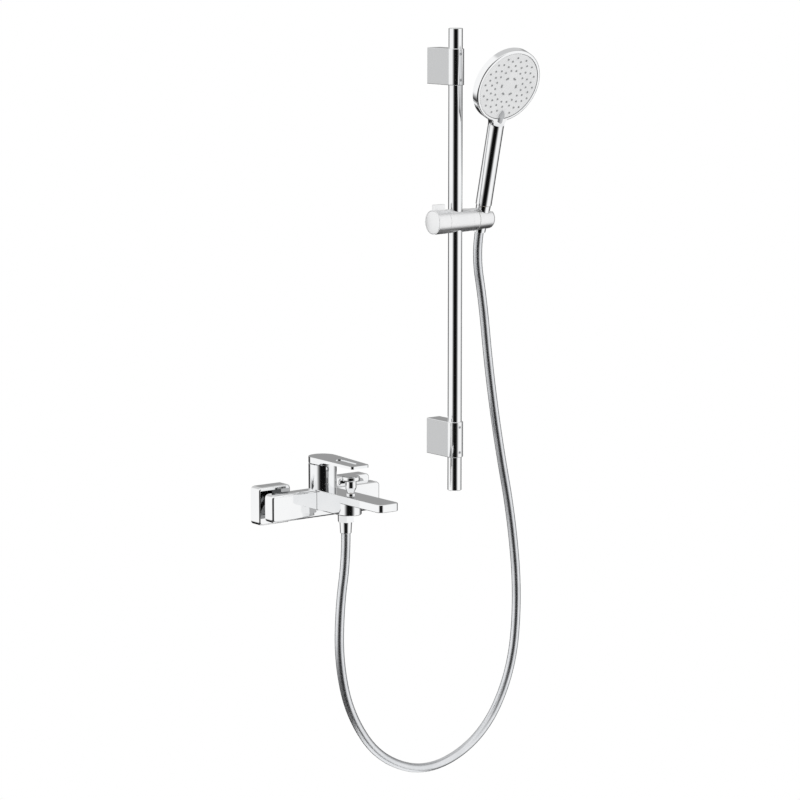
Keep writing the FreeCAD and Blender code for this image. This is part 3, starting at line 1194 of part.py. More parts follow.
def make_lever():
    """Hub and blade, hollowed by a ball about the tilting axis so that it clears the tower."""
    lever = lever_plan().common(lever_side_profile())
    lever = lever.cut(Part.makeSphere(LEVER_HOLLOW_RADIUS, tower_point(PIVOT_Z)))
    boss_height = LEVER_TOP_Z - LEVER_ROOF / 2 - LEVER_BOSS_BOTTOM_Z
    lever = lever.fuse(cylinder(LEVER_BOSS_RADIUS, boss_height, tower_point(LEVER_BOSS_BOTTOM_Z)))
    room_length = SPINDLE_TOP_Z - LEVER_BOSS_BOTTOM_Z + 1
    spindle_room = cylinder(SPINDLE_RADIUS + PRESSED, room_length, tower_point(LEVER_BOSS_BOTTOM_Z - 1))
    grub_hole = cylinder(GRUB_RADIUS + PRESSED, TOWER_RADIUS + 2, tower_point(GRUB_Z), INWARD)
    return lever.cut(spindle_room).cut(grub_hole).cut(lever_dish()).removeSplitter()


def make_lever_grub():
    start = tower_point(GRUB_Z) + INWARD * (SPINDLE_RADIUS + PRESSED)
    return make_socket_screw(GRUB_RADIUS, GRUB_LENGTH, start, INWARD)


def make_index_plug():
    start = tower_point(GRUB_Z) + INWARD * (TOWER_RADIUS - INDEX_PLUG_LENGTH)
    plug = cylinder(GRUB_RADIUS, INDEX_PLUG_LENGTH, start, INWARD)
    return plug.common(cylinder(TOWER_RADIUS, 4 * GRUB_RADIUS, tower_point(GRUB_Z - 2 * GRUB_RADIUS)))


# Diverter

def diverter_point(z):
    return V(MIXER_X, -DIVERTER_OUT, z)


def diverter_knob_low_z():
    return BAR_TOP_Z + BONNET_FLANGE_HEIGHT + EASY


def make_diverter_knob():
    cap_low = DIVERTER_CAP_TOP_Z - DIVERTER_CAP_HEIGHT
    cap = cylinder(DIVERTER_CAP_RADIUS, DIVERTER_CAP_HEIGHT, diverter_point(cap_low))
    top_rim = full_circles(cap, lambda c: c.z > DIVERTER_CAP_TOP_Z - NEAR)
    cap = cap.makeFillet(DIVERTER_CAP_TOP_ROUND, top_rim)
    cap = cap.makeFillet(DIVERTER_CAP_LOW_ROUND, full_circles(cap, lambda c: c.z < cap_low + NEAR))
    shoulder = diverter_knob_low_z() + DIVERTER_TAPER_HEIGHT
    stem = cylinder(DIVERTER_STEM_TOP_RADIUS, cap_low + 1 - shoulder, diverter_point(shoulder))
    taper = cone(DIVERTER_STEM_LOW_RADIUS, DIVERTER_STEM_TOP_RADIUS, shoulder - diverter_knob_low_z(),
                 diverter_point(diverter_knob_low_z()))
    knob = cap.fuse(stem).fuse(taper)
    hole_start = diverter_point(diverter_knob_low_z() - 1)
    return knob.cut(cylinder(DIVERTER_ROD_RADIUS + PRESSED, DIVERTER_ROD_ENTRY + LOOSE + 1, hole_start))


def diverter_washer_z():
    return DIVERTER_CHAMBER_FLOOR_Z + LOOSE


def make_diverter_spindle():
    low = diverter_washer_z()
    high = diverter_knob_low_z() + DIVERTER_ROD_ENTRY
    rod = cylinder(DIVERTER_ROD_RADIUS, high - low, diverter_point(low))
    flange_z = low + DIVERTER_WASHER_THICKNESS
    flange_radius = DIVERTER_WASHER_RADIUS - DIVERTER_FLANGE_MARGIN
    return rod.fuse(cylinder(flange_radius, DIVERTER_FLANGE_THICKNESS, diverter_point(flange_z)))


def make_diverter_washer():
    return ring(DIVERTER_WASHER_RADIUS, DIVERTER_ROD_RADIUS + PRESSED, DIVERTER_WASHER_THICKNESS,
                diverter_point(diverter_washer_z()))


def make_bonnet():
    low = BAR_TOP_Z - BONNET_DEPTH
    barrel = cylinder(BONNET_RADIUS - PRESSED, BONNET_DEPTH, diverter_point(low))
    flange = cylinder(BONNET_FLANGE_RADIUS, BONNET_FLANGE_HEIGHT, diverter_point(BAR_TOP_Z))
    flange = flange.makeFillet(BONNET_ROUND, full_circles(flange, lambda c: c.z > BAR_TOP_Z + NEAR))
    bonnet = barrel.fuse(flange)
    bore_length = BONNET_DEPTH + BONNET_FLANGE_HEIGHT + 2
    bonnet = bonnet.cut(cylinder(DIVERTER_ROD_RADIUS + RUNNING, bore_length, diverter_point(low - 1)))
    return bonnet.cut(cylinder(BONNET_RADIUS - BONNET_WALL, BONNET_SEAL_THICKNESS, diverter_point(low)))


def make_bonnet_seal():
    low = BAR_TOP_Z - BONNET_DEPTH
    outer = BONNET_RADIUS - BONNET_WALL - PRESSED
    return ring(outer, DIVERTER_ROD_RADIUS + RUNNING, BONNET_SEAL_THICKNESS - PRESSED, diverter_point(low))


# Spout end

def make_aerator_housing():
    low = BAR_TOP_Z - SPOUT_THICKNESS + AERATOR_INSET
    start = V(MIXER_X, -AERATOR_OUT, low)
    return ring(AERATOR_RADIUS - PRESSED, AERATOR_RADIUS - AERATOR_WALL, AERATOR_DEPTH - AERATOR_INSET, start)


def make_aerator_insert():
    low = BAR_TOP_Z - SPOUT_THICKNESS + AERATOR_GRID_INSET
    start = V(MIXER_X, -AERATOR_OUT, low)
    insert = cylinder(AERATOR_RADIUS - AERATOR_WALL - PRESSED, AERATOR_DEPTH - AERATOR_GRID_INSET, start)
    holes = []
    half = AERATOR_GRID_HOLE / 2
    for row in range(-2, 3):
        for column in range(-2, 3):
            middle = start + V(column * AERATOR_GRID_PITCH, row * AERATOR_GRID_PITCH, 0)
            holes.append(block(middle - V(half, half, 1), middle + V(half, half, AERATOR_DEPTH)))
    return insert.cut(Part.makeCompound(holes))


# Hose outlet and hose fittings

def outlet_point(z):
    return V(MIXER_X, -OUTLET_OUT, z)


def make_nipple():
    z = OUTLET_BLOCK_BOTTOM_Z
    spigot = cylinder(NIPPLE_SPIGOT_RADIUS - PRESSED, NIPPLE_SPIGOT_LENGTH, outlet_point(z))
    thread = cylinder(NIPPLE_THREAD_RADIUS, NIPPLE_LENGTH, outlet_point(z), DOWN)
    whole = spigot.fuse(thread)
    bore_length = NIPPLE_LENGTH + NIPPLE_SPIGOT_LENGTH + 2
    return whole.cut(cylinder(NIPPLE_BORE_RADIUS, bore_length, outlet_point(z - NIPPLE_LENGTH - 1)))


def make_check_valve():
    z = OUTLET_BLOCK_BOTTOM_Z - NIPPLE_LENGTH + EASY
    body = cylinder(NIPPLE_BORE_RADIUS - PRESSED, CHECK_VALVE_LENGTH, outlet_point(z))
    for step in range(CHECK_VALVE_HOLE_COUNT):
        angle = math.radians(360.0 * step / CHECK_VALVE_HOLE_COUNT)
        hole = outlet_point(z - 1) + V(math.cos(angle), math.sin(angle), 0) * CHECK_VALVE_HOLE_OFFSET
        body = body.cut(cylinder(CHECK_VALVE_HOLE_RADIUS, CHECK_VALVE_LENGTH + 2, hole))
    return body


def make_hose_washer():
    z = OUTLET_BLOCK_BOTTOM_Z - NIPPLE_LENGTH - HOSE_WASHER_THICKNESS
    inner = HOSE_BORE / 2 + HOSE_PASSAGE_GAP
    return ring(NIPPLE_THREAD_RADIUS - LOOSE, inner, HOSE_WASHER_THICKNESS, outlet_point(z))


def make_hose_nut():
    top = OUTLET_BLOCK_BOTTOM_Z - PRESSED
    nut = hexagon(HOSE_NUT_FLATS, HOSE_NUT_LENGTH, outlet_point(top), DOWN)
    corner = HOSE_NUT_FLATS / math.sqrt(3) + HOSE_NUT_CORNER_GAP
    straight = HOSE_NUT_LENGTH - HOSE_NUT_BEVEL
    skin = cone(corner, HOSE_NUT_FLATS / 2, 2 * HOSE_NUT_BEVEL, outlet_point(top - straight), DOWN)
    round_bar = cylinder(corner, straight, outlet_point(top), DOWN).fuse(skin)
    nut = nut.common(round_bar)
    thread_depth = HOSE_NUT_LENGTH - HOSE_NUT_SEAT
    nut = nut.cut(cylinder(NIPPLE_THREAD_RADIUS + PRESSED, thread_depth, outlet_point(top), DOWN))
    return nut.cut(cylinder(HOSE_BORE / 2 + HOSE_PASSAGE_GAP, HOSE_NUT_LENGTH + 1, outlet_point(top), DOWN))


def make_ferrule():
    top = OUTLET_BLOCK_BOTTOM_Z - PRESSED - HOSE_NUT_LENGTH
    body = cone(FERRULE_TOP_RADIUS, FERRULE_LOW_RADIUS, FERRULE_LENGTH, outlet_point(top), DOWN)
    low_rim = full_circles(body, lambda c: c.z < top - FERRULE_LENGTH + NEAR)
    body = body.makeFillet(FERRULE_ROUND, low_rim)
    return body.cut(cylinder(HOSE_BORE / 2, FERRULE_LENGTH + 2, outlet_point(top + 1), DOWN))


def hose_route():
    lean = math.radians(HANDSET_LEAN)
    along = V(0, math.sin(lean), -math.cos(lean))
    start = slider_point(HANDSET_X) - along * CONE_BOTTOM
    end = outlet_point(FERRULE_BOTTOM_Z)
    points = [start, start + along * HOSE_FIRST_RUN]
    for x, y, z in HOSE_MIDDLE:
        points.append(V(x, y, z))
    return points + [end + DOWN * HOSE_LAST_RUN, end]


def hose_path(points):
    """Straight runs joined by tangent arcs, each as large as its two runs allow."""
    edges = []
    last = points[0]
    for before, corner, after in zip(points, points[1:], points[2:]):
        back = before - corner
        ahead = after - corner
        shorter = min(back.Length, ahead.Length)
        back.normalize()
        ahead.normalize()
        turn = math.pi - back.getAngle(ahead)
        trim = HOSE_ARC_SHARE * shorter
        radius = trim / math.tan(turn / 2)
        print("hose arc radius", round(radius, 1))
        enter = corner + back * trim
        leave = corner + ahead * trim
        inwards = back + ahead
        inwards.normalize()
        centre_away = radius / math.cos(turn / 2)
        middle = corner + inwards * (centre_away - radius)
        edges.append(Part.LineSegment(last, enter).toShape())
        edges.append(Part.Arc(enter, middle, leave).toShape())
        last = leave
    edges.append(Part.LineSegment(last, points[-1]).toShape())
    return Part.Wire(edges)


def sweep_round(path, radius, points):
    direction = points[1] - points[0]
    circle = Part.Wire([Part.Circle(points[0], direction, radius).toShape()])
    return path.makePipeShell([circle], True, False)


def make_hose():
    points = hose_route()
    path = hose_path(points)
    outer = sweep_round(path, HOSE_DIAMETER / 2, points)
    inner = sweep_round(path, HOSE_BORE / 2, points)
    hose = outer.cut(inner)
    section = math.pi * (HOSE_DIAMETER ** 2 - HOSE_BORE ** 2) / 4
    print("hose length", round(path.Length, 1), "volume", round(hose.Volume, 1),
          "section times length", round(section * path.Length, 1))
    return hose


def build_rail():
    export("riser_rail", make_rail())
    export("rail_end_caps", make_end_cap(RAIL_TOP_Z, DOWN), make_end_cap(RAIL_BOTTOM_Z, UP))
    export("upper_bracket", make_bracket(BRACKET_SPACING / 2))
    export("lower_bracket", make_bracket(-BRACKET_SPACING / 2))
    export("upper_wall_base", make_wall_base(BRACKET_SPACING / 2))
    export("lower_wall_base", make_wall_base(-BRACKET_SPACING / 2))
    export("rail_grub_screws", *make_rail_screws())
    export("bracket_lock_screws", *make_lock_screws())


def build_slider():
    export("slider_bush", make_slider_bush())
    export("slider_body", make_slider_body())
    export("clamp_pad", make_clamp_pad())
    export("clamp_screw", make_clamp_screw())
    export("slider_knob", make_knob())
    export("knob_disc", make_knob_disc())
    export("friction_washer", make_friction_washer())
    export("swivel_collar", make_collar())
    export("pivot_bolt", make_pivot_bolt())
    export("handset_holder", make_holder())


def build_handset():
    export("hose_cone_nut", holder_local(make_cone_nut()))
    export("handset_connector", holder_local(make_connector()))
    export("handset_handle", holder_local(make_handle()))
    export("handset_water_tube", holder_local(make_water_tube()))
    export("head_shell", holder_local(make_head_shell()))
    export("spray_chamber", holder_local(make_spray_chamber()))
    export("nozzle_mat", holder_local(make_nozzle_mat()))
    export("spray_face", holder_local(make_face_plate()))
    export("spray_selector", holder_local(make_selector()))


def build_mixer():
    export("mixer_body", make_mixer_body())
    export("wall_cover_left", make_wall_cover(LEFT_SUPPLY_X))
    export("wall_cover_right", make_wall_cover(RIGHT_SUPPLY_X))
    export("supply_union_left", make_union(LEFT_SUPPLY_X))
    export("supply_union_right", make_union(RIGHT_SUPPLY_X))
    export("union_nuts", make_union_nut(LEFT_SUPPLY_X), make_union_nut(RIGHT_SUPPLY_X))
    export("inlet_washers", make_inlet_washer(LEFT_SUPPLY_X), make_inlet_washer(RIGHT_SUPPLY_X))
    export("cartridge_housing", make_cartridge_housing())
    export("cartridge_base", make_cartridge_base())
    export("fixed_ceramic_disc", make_fixed_disc())
    export("moving_ceramic_disc", make_moving_disc())
    export("disc_driver", make_disc_driver())
    export("spindle_guide", make_spindle_guide())
    export("spindle_pin", make_pivot_pin())
    export("lever_spindle", make_lever_spindle())
    export("cartridge_nut", make_cartridge_nut())
    export("mixer_lever", make_lever())
    export("lever_grub_screw", make_lever_grub())
    export("index_plug", make_index_plug())
    export("diverter_knob", make_diverter_knob())
    export("diverter_spindle", make_diverter_spindle())
    export("diverter_washer", make_diverter_washer())
    export("diverter_bonnet", make_bonnet())
    export("bonnet_seal", make_bonnet_seal())
    export("aerator_housing", make_aerator_housing())
    export("aerator_insert", make_aerator_insert())


def build_hose():
    export("outlet_nipple", make_nipple())
    export("check_valve", make_check_valve())
    export("hose_washer", make_hose_washer())
    export("hose_nut", make_hose_nut())
    export("hose_ferrule", make_ferrule())
    export("shower_hose", make_hose())


os.makedirs("parts", exist_ok=True)
build_rail()
build_slider()
build_handset()
build_mixer()
build_hose()
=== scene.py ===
"""Finishes, hose and studio for a bath mixer with a riser rail and hand shower."""
import json
import logging
import math
from dataclasses import dataclass, replace
from enum import Enum
from typing import Optional, Sequence, Union

import bpy
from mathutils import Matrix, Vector


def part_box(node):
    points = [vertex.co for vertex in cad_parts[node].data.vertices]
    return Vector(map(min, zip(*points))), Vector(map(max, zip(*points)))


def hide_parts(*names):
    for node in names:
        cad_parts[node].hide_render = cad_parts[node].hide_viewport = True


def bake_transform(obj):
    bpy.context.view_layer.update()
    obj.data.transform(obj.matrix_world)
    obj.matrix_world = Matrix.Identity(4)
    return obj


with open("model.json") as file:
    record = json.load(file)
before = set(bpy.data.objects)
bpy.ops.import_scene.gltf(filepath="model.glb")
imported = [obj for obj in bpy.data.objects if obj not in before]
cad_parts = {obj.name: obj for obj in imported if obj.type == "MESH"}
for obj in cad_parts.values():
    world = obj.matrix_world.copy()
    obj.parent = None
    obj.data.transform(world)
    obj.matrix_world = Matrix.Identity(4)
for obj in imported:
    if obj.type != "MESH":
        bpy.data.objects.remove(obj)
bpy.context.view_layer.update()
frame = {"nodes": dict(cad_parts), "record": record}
LOG = logging.getLogger("shower_mixer")

Number = Union[int, float]
Point = tuple[float, float, float]
Colour = tuple[float, float, float]
Range = tuple[float, float]
Socket = bpy.types.NodeSocket

FULL_TURN = 2 * math.pi
TINY = 1e-9
WHITE: Colour = (1.0, 1.0, 1.0)
# The Mix node's colour sockets share their names with its plain ones, so they go by number.
MIX_FIRST, MIX_SECOND, MIX_RESULT = 6, 7, 2
# Fine lines and grain: how much a line is drawn out, and the noise's detail.
DRAWN_OUT = 0.04
FINE_DETAIL = 2.0
HOSE_LAYER = "hose"


class Axis(Enum):
    """Direction in which a finish was brushed or turned."""

    ACROSS = (1.0, 0.0, 0.0)
    OUT = (0.0, 1.0, 0.0)
    UP = (0.0, 0.0, 1.0)


class Value:
    """A shader socket that takes part in Python sums."""

    def __init__(self, graph: "Graph", socket: Socket) -> None:
        """Keeps the socket that gives the number.

        Args:
            graph: the nodes it belongs to.
            socket: the output that is used.
        """
        self.graph = graph
        self.socket = socket

    def __add__(self, other: "Term") -> "Value":
        """Sum.

        Args:
            other: what is added.

        Returns:
            The sum.
        """
        return self.graph.maths("ADD", self, other)

    def __radd__(self, other: "Number") -> "Value":
        """Sum with a number on the left.

        Args:
            other: what it is added to.

        Returns:
            The sum.
        """
        return self.graph.maths("ADD", other, self)

    def __sub__(self, other: "Term") -> "Value":
        """Difference.

        Args:
            other: what is taken away.

        Returns:
            The difference.
        """
        return self.graph.maths("SUBTRACT", self, other)

    def __rsub__(self, other: "Number") -> "Value":
        """Difference with a number on the left.

        Args:
            other: what it is taken from.

        Returns:
            The difference.
        """
        return self.graph.maths("SUBTRACT", other, self)

    def __mul__(self, other: "Term") -> "Value":
        """Product.

        Args:
            other: the other factor.

        Returns:
            The product.
        """
        return self.graph.maths("MULTIPLY", self, other)

    def __rmul__(self, other: "Number") -> "Value":
        """Product with a number on the left.

        Args:
            other: the other factor.

        Returns:
            The product.
        """
        return self.graph.maths("MULTIPLY", other, self)

    def __truediv__(self, other: "Term") -> "Value":
        """Quotient.

        Args:
            other: the divisor.

        Returns:
            The quotient.
        """
        return self.graph.maths("DIVIDE", self, other)

    def __rtruediv__(self, other: "Number") -> "Value":
        """Quotient with a number on the left.

        Args:
            other: what is divided.

        Returns:
            The quotient.
        """
        return self.graph.maths("DIVIDE", other, self)

    def sine(self) -> "Value":
        """Sine of the value in radians.

        Returns:
            The sine, from -1 to 1.
        """
        return self.graph.maths("SINE", self)

    def waves(self, pitch: float) -> "Value":
        """Even waves along the value.

        Args:
            pitch: length of one wave.

        Returns:
            The wave's height, from 0 to 1.
        """
        return (self * (FULL_TURN / pitch)).sine() * 0.5 + 0.5

    def span(self, low: float, high: float) -> "Value":
        """Value spread smoothly from 0 at low to 1 at high.

        Args:
            low: value that becomes 0.
            high: value that becomes 1.

        Returns:
            The smoothed share, held between 0 and 1.
        """
        node = self.graph.node(
            "ShaderNodeMapRange", {"interpolation_type": "SMOOTHSTEP"},
            {"Value": self, "From Min": low, "From Max": high})
        return Value(self.graph, node.outputs["Result"])


Term = Union[Value, Number]


class Graph:
    """The nodes of one material or world."""

    def __init__(self, tree: bpy.types.NodeTree) -> None:
        """Empties the tree and keeps it.

        Args:
            tree: the node tree to fill.
        """
        tree.nodes.clear()
        self.tree = tree

    def node(self, kind: str, settings: Optional[dict] = None,
             inputs: Optional[dict] = None) -> bpy.types.Node:
        """Adds any node.

        Args:
            kind: Blender's name of the node's type.
            settings: properties that are set first.
            inputs: values or links of its sockets, by name or number.

        Returns:
            The new node.
        """
        made = self.tree.nodes.new(kind)
        for name, setting in (settings or {}).items():
            setattr(made, name, setting)
        for name, value in (inputs or {}).items():
            self._feed(made.inputs[name], value)
        return made

    def _feed(self, socket: Socket, value: object) -> None:
        """Links a socket or sets its value.

        Args:
            socket: the input.
            value: a value, an output socket or a plain setting.
        """
        if isinstance(value, Value):
            value = value.socket
        if isinstance(value, Socket):
            self.tree.links.new(value, socket)
        else:
            socket.default_value = value

    def maths(self, operation: str, *terms: Term) -> Value:
        """Adds one Math node.

        Args:
            operation: Blender's name of the operation.
            terms: the numbers and values it takes.

        Returns:
            The result.
        """
        node = self.node("ShaderNodeMath", {"operation": operation}, dict(enumerate(terms)))
        return Value(self, node.outputs[0])

    def noise(self, place: object, cells: float, detail: float = 3.0) -> Value:
        """Soft noise.

        Args:
            place: where it is read.
            cells: cells per metre.
            detail: finer layers on top.

        Returns:
            Noise from 0 to 1.
        """
        node = self.node("ShaderNodeTexNoise", None, {"Vector": place, "Scale": cells, "Detail": detail})
        return Value(self, node.outputs[0])

    def brushing(self, place: object, along: Axis, lines: float) -> Value:
        """Fine lines along one axis.

        Args:
            place: where they are read.
            along: the axis they run along.
            lines: lines per metre across them.

        Returns:
            The lines' height, from 0 to 1.
        """
        run = tuple(DRAWN_OUT if part else 1.0 for part in along.value)
        return self.noise(self.stretched(place, run), lines, FINE_DETAIL)

    def cells(self, place: object, cells: float) -> Value:
        """Distance to the nearest cell point, for grain and pits.

        Args:
            place: where it is read.
            cells: cells per metre.

        Returns:
            The distance, in cells.
        """
        node = self.node("ShaderNodeTexVoronoi", None, {"Vector": place, "Scale": cells})
        return Value(self, node.outputs["Distance"])

    def blend(self, share: Term, first: Union[Colour, Socket], second: Colour) -> Socket:
        """Colour between two colours.

        Args:
            share: how much of the second.
            first: colour or link at 0.
            second: colour at 1.

        Returns:
            The mixed colour.
        """
        start = (*first, 1.0) if isinstance(first, tuple) else first
        node = self.node("ShaderNodeMix", {"data_type": "RGBA"},
                         {"Factor": share, MIX_FIRST: start, MIX_SECOND: (*second, 1.0)})
        return node.outputs[MIX_RESULT]

    def object_place(self) -> Socket:
        """Place on the piece.

        Returns:
            The place, in metres.
        """
        return self.node("ShaderNodeTexCoord").outputs["Object"]

    def stretched(self, place: object, scale: Point) -> Socket:
        """Place scaled along each axis.

        Args:
            place: the place to scale.
            scale: factor for each axis.

        Returns:
            The scaled place.
        """
        node = self.node("ShaderNodeVectorMath", {"operation": "MULTIPLY"}, {0: place, 1: scale})
        return node.outputs[0]

    def parts(self, place: object) -> tuple[Value, Value, Value]:
        """The three coordinates of a place.

        Args:
            place: the place to take apart.

        Returns:
            How far across, out and up it lies.
        """
        node = self.node("ShaderNodeSeparateXYZ", None, {0: place})
        return tuple(Value(self, socket) for socket in node.outputs)

    def along(self, way: object, direction: Point) -> Value:
        """How far a way runs in a direction.

        Args:
            way: the way that is measured.
            direction: unit direction.

        Returns:
            The share of the way in that direction.
        """
        node = self.node("ShaderNodeVectorMath", {"operation": "DOT_PRODUCT"}, {0: way, 1: direction})
        return Value(self, node.outputs["Value"])

    def bump(self, height: Value, depth: float, strength: float = 1.0,
             under: Optional[Socket] = None) -> Socket:
        """Surface relief.

        Args:
            height: share of the depth, from 0 to 1.
            depth: depth in metres.
            strength: how much of it shows.
            under: the normal that the relief lies on.

        Returns:
            The new normal.
        """
        inputs = {"Height": height, "Distance": depth, "Strength": strength}
        if under is not None:
            inputs["Normal"] = under
        return self.node("ShaderNodeBump", None, inputs).outputs["Normal"]

    def surface(self, constants: dict, varying: dict) -> None:
        """Ends a material in one Principled shader.

        Args:
            constants: values that are the same all over.
            varying: links for what changes over the surface.
        """
        shader = self.node("ShaderNodeBsdfPrincipled", None, {**constants, **varying})
        self.node("ShaderNodeOutputMaterial", None, {"Surface": shader.outputs[0]})


@dataclass(frozen=True)
class Patches:
    """Soft patches of noise over a piece."""

    cells: float
    reach: Range
    detail: float = 3.0

    def over(self, graph: Graph, place: object) -> Value:
        """Reads the patches.

        Args:
            graph: the material's nodes.
            place: where they are read.

        Returns:
            Share of the patch, from 0 to 1.
        """
        return graph.noise(place, self.cells, self.detail).span(*self.reach)


SATIN_CLOUD = Patches(30.0, (0.3, 0.7))


@dataclass(frozen=True)
class Finish:
    """What every finish has: its slot in the record and two close colours."""

    slot: str
    colour: Colour
    shade: Colour
    roughness: float

    def material(self) -> bpy.types.Material:
        """Builds the material.

        Returns:
            The new material, named after its slot.
        """
        made = bpy.data.materials.new(self.slot)
        made.use_nodes = True
        self.paint(Graph(made.node_tree))
        return made

    def paint(self, graph: Graph) -> None:
        """Fills the material's nodes. Each kind of finish has its own.

        Args:
            graph: the material's nodes.
        """
        raise NotImplementedError(self.slot)


@dataclass(frozen=True)
class Plated(Finish):
    """Polished plating: faint film, wiped smears and the ripple left by the buffing wheel."""

    smear: float = 0.03
    ripple: float = 0.00001
    ripple_cells: float = 55.0
    film: Patches = Patches(22.0, (0.35, 0.75))
    wiped: Patches = Patches(160.0, (0.45, 0.8), 5.0)
    wiped_run: Point = (1.0, 1.0, 0.25)
    spot_cells: float = 210.0
    spot_reach: Range = (0.03, 0.1)
    spot_roughness: float = 0.02
    ior: float = 2.4

    def paint(self, graph: Graph) -> None:
        """Mirror plating with a little life in it.

        Args:
            graph: the material's nodes.
        """
        place = graph.object_place()
        film = self.film.over(graph, place)
        wiped = self.wiped.over(graph, graph.stretched(place, self.wiped_run))
        spots = 1 - graph.cells(place, self.spot_cells).span(*self.spot_reach)
        graph.surface(
            {"Metallic": 1.0, "IOR": self.ior},
            {"Base Color": graph.blend(film, self.colour, self.shade),
             "Roughness": self.roughness + wiped * self.smear + spots * film * self.spot_roughness,
             "Normal": self.rippled(graph, place)})

    def rippled(self, graph: Graph, place: Socket) -> Socket:
        """The buffing wheel's ripple.

        Args:
            graph: the material's nodes.
            place: where it is read.

        Returns:
            The rippled normal.
        """
        return graph.bump(graph.noise(place, self.ripple_cells, 1.0), self.ripple)


@dataclass(frozen=True)
class Faced(Plated):
    """Polished plating whose flat sides get fine facing lines and more roughness; their darker grey
    colour is painted shade.
    """

    flats_from: float = -0.0535
    flats_edge: float = 0.0005
    sideways: Range = (0.9, 0.98)
    # Colour of the flat sides, darker than the round front: painted shade.
    painted_flat_shade: Colour = (0.58, 0.585, 0.59)
    dull_roughness: float = 0.16
    lines: float = 2600.0
    line_roughness: float = 0.08

    def paint(self, graph: Graph) -> None:
        """Mirror on the round front; fine facing lines and a darker colour that is painted shade on the
        flat sides.

        Args:
            graph: the material's nodes.
        """
        coordinates = graph.node("ShaderNodeTexCoord").outputs
        place = coordinates["Object"]
        sideways = graph.maths("ABSOLUTE", graph.parts(coordinates["Normal"])[0]).span(*self.sideways)
        behind_edge = (self.flats_from - self.flats_edge, self.flats_from + self.flats_edge)
        flat = sideways * graph.parts(place)[1].span(*behind_edge)
        lines = graph.brushing(place, Axis.UP, self.lines)
        bright = graph.blend(self.film.over(graph, place), self.colour, self.shade)
        graph.surface(
            {"Metallic": 1.0, "IOR": self.ior},
            # The flat sides take the darker grey: painted shade.
            {"Base Color": graph.blend(flat, bright, self.painted_flat_shade),
             "Roughness": self.roughness + flat * (lines * self.line_roughness + self.dull_roughness),
             "Normal": self.rippled(graph, place)})


@dataclass(frozen=True)
class Brushed(Finish):
    """Satin plating, with fine lines that run round or along the piece."""

    along: Axis = Axis.ACROSS
    lines: float = 2600.0
    line_roughness: float = 0.1
    relief: float = 0.00001
    relief_shown: float = 0.5
    cloud: Patches = SATIN_CLOUD

    def paint(self, graph: Graph) -> None:
        """Satin metal with brushing lines.

        Args:
            graph: the material's nodes.
        """
        place = graph.object_place()
        line = graph.brushing(place, self.along, self.lines)
        cloud = self.cloud.over(graph, place)
        graph.surface(
            {"Metallic": 1.0},
            {"Base Color": graph.blend(cloud, self.colour, self.shade),
             "Roughness": self.roughness + line * self.line_roughness,
             "Normal": graph.bump(line, self.relief, self.relief_shown)})


@dataclass(frozen=True)
class Domed(Finish):
    """Satin end face, turned with a slight dome about its own middle."""

    middle: Point = (0.0, 0.0, 0.0)
    radius: float = 0.02
    rise: float = 0.0013
    pitch: float = 0.00035
    ring_depth: float = 0.000006
    ring_shown: float = 0.4
    ring_roughness: float = 0.06
    cloud: Patches = SATIN_CLOUD

    def paint(self, graph: Graph) -> None:
        """Satin metal with rings round its middle and the tilt of a dome.

        Args:
            graph: the material's nodes.
        """
        place = graph.object_place()
        _, out, up = graph.parts(place)
        out = out - self.middle[1]
        up = up - self.middle[2]
        square = out * out + up * up
        dome = 1 - square / self.radius ** 2
        rings = graph.maths("SQRT", square).waves(self.pitch)
        cloud = self.cloud.over(graph, place)
        tilt = graph.bump(dome, self.rise)
        graph.surface(
            {"Metallic": 1.0},
            {"Base Color": graph.blend(cloud, self.colour, self.shade),
             "Roughness": self.roughness + rings * self.ring_roughness,
             "Normal": graph.bump(rings, self.ring_depth, self.ring_shown, tilt)})


@dataclass(frozen=True)
class Moulded(Finish):
    """Moulded plastic: spark-eroded grain and flow clouds."""

    grain: float = 1500.0
    relief: float = 0.00002
    relief_shown: float = 0.6
    grain_roughness: float = 0.12
    cloud: Patches = Patches(45.0, (0.3, 0.7), 4.0)
    ior: float = 1.5

    def paint(self, graph: Graph) -> None:
        """Plastic with grain.

        Args:
            graph: the material's nodes.
        """
        place = graph.object_place()
        cloud = self.cloud.over(graph, place)
        grain = graph.cells(place, self.grain)
        graph.surface(
            {"Metallic": 0.0, "IOR": self.ior},
            {"Base Color": graph.blend(cloud, self.colour, self.shade),
             "Roughness": self.roughness + grain * self.grain_roughness,
             "Normal": graph.bump(grain, self.relief, self.relief_shown)})


@dataclass(frozen=True)
class Elastic(Finish):
    """Rubber or silicone: soft, with a dusty bloom where it has been touched."""

    grain: float = 2200.0
    relief: float = 0.00003
    relief_shown: float = 0.5
    bloom: Patches = Patches(120.0, (0.35, 0.8), 5.0)
    bloom_roughness: float = 0.1
    ior: float = 1.45

    def paint(self, graph: Graph) -> None:
        """Soft rubber.

        Args:
            graph: the material's nodes.
        """
        place = graph.object_place()
        bloom = self.bloom.over(graph, place)
        grain = graph.noise(place, self.grain, FINE_DETAIL)
        graph.surface(
            {"Metallic": 0.0, "IOR": self.ior},
            {"Base Color": graph.blend(bloom, self.colour, self.shade),
             "Roughness": self.roughness + bloom * self.bloom_roughness,
             "Normal": graph.bump(grain, self.relief, self.relief_shown)})


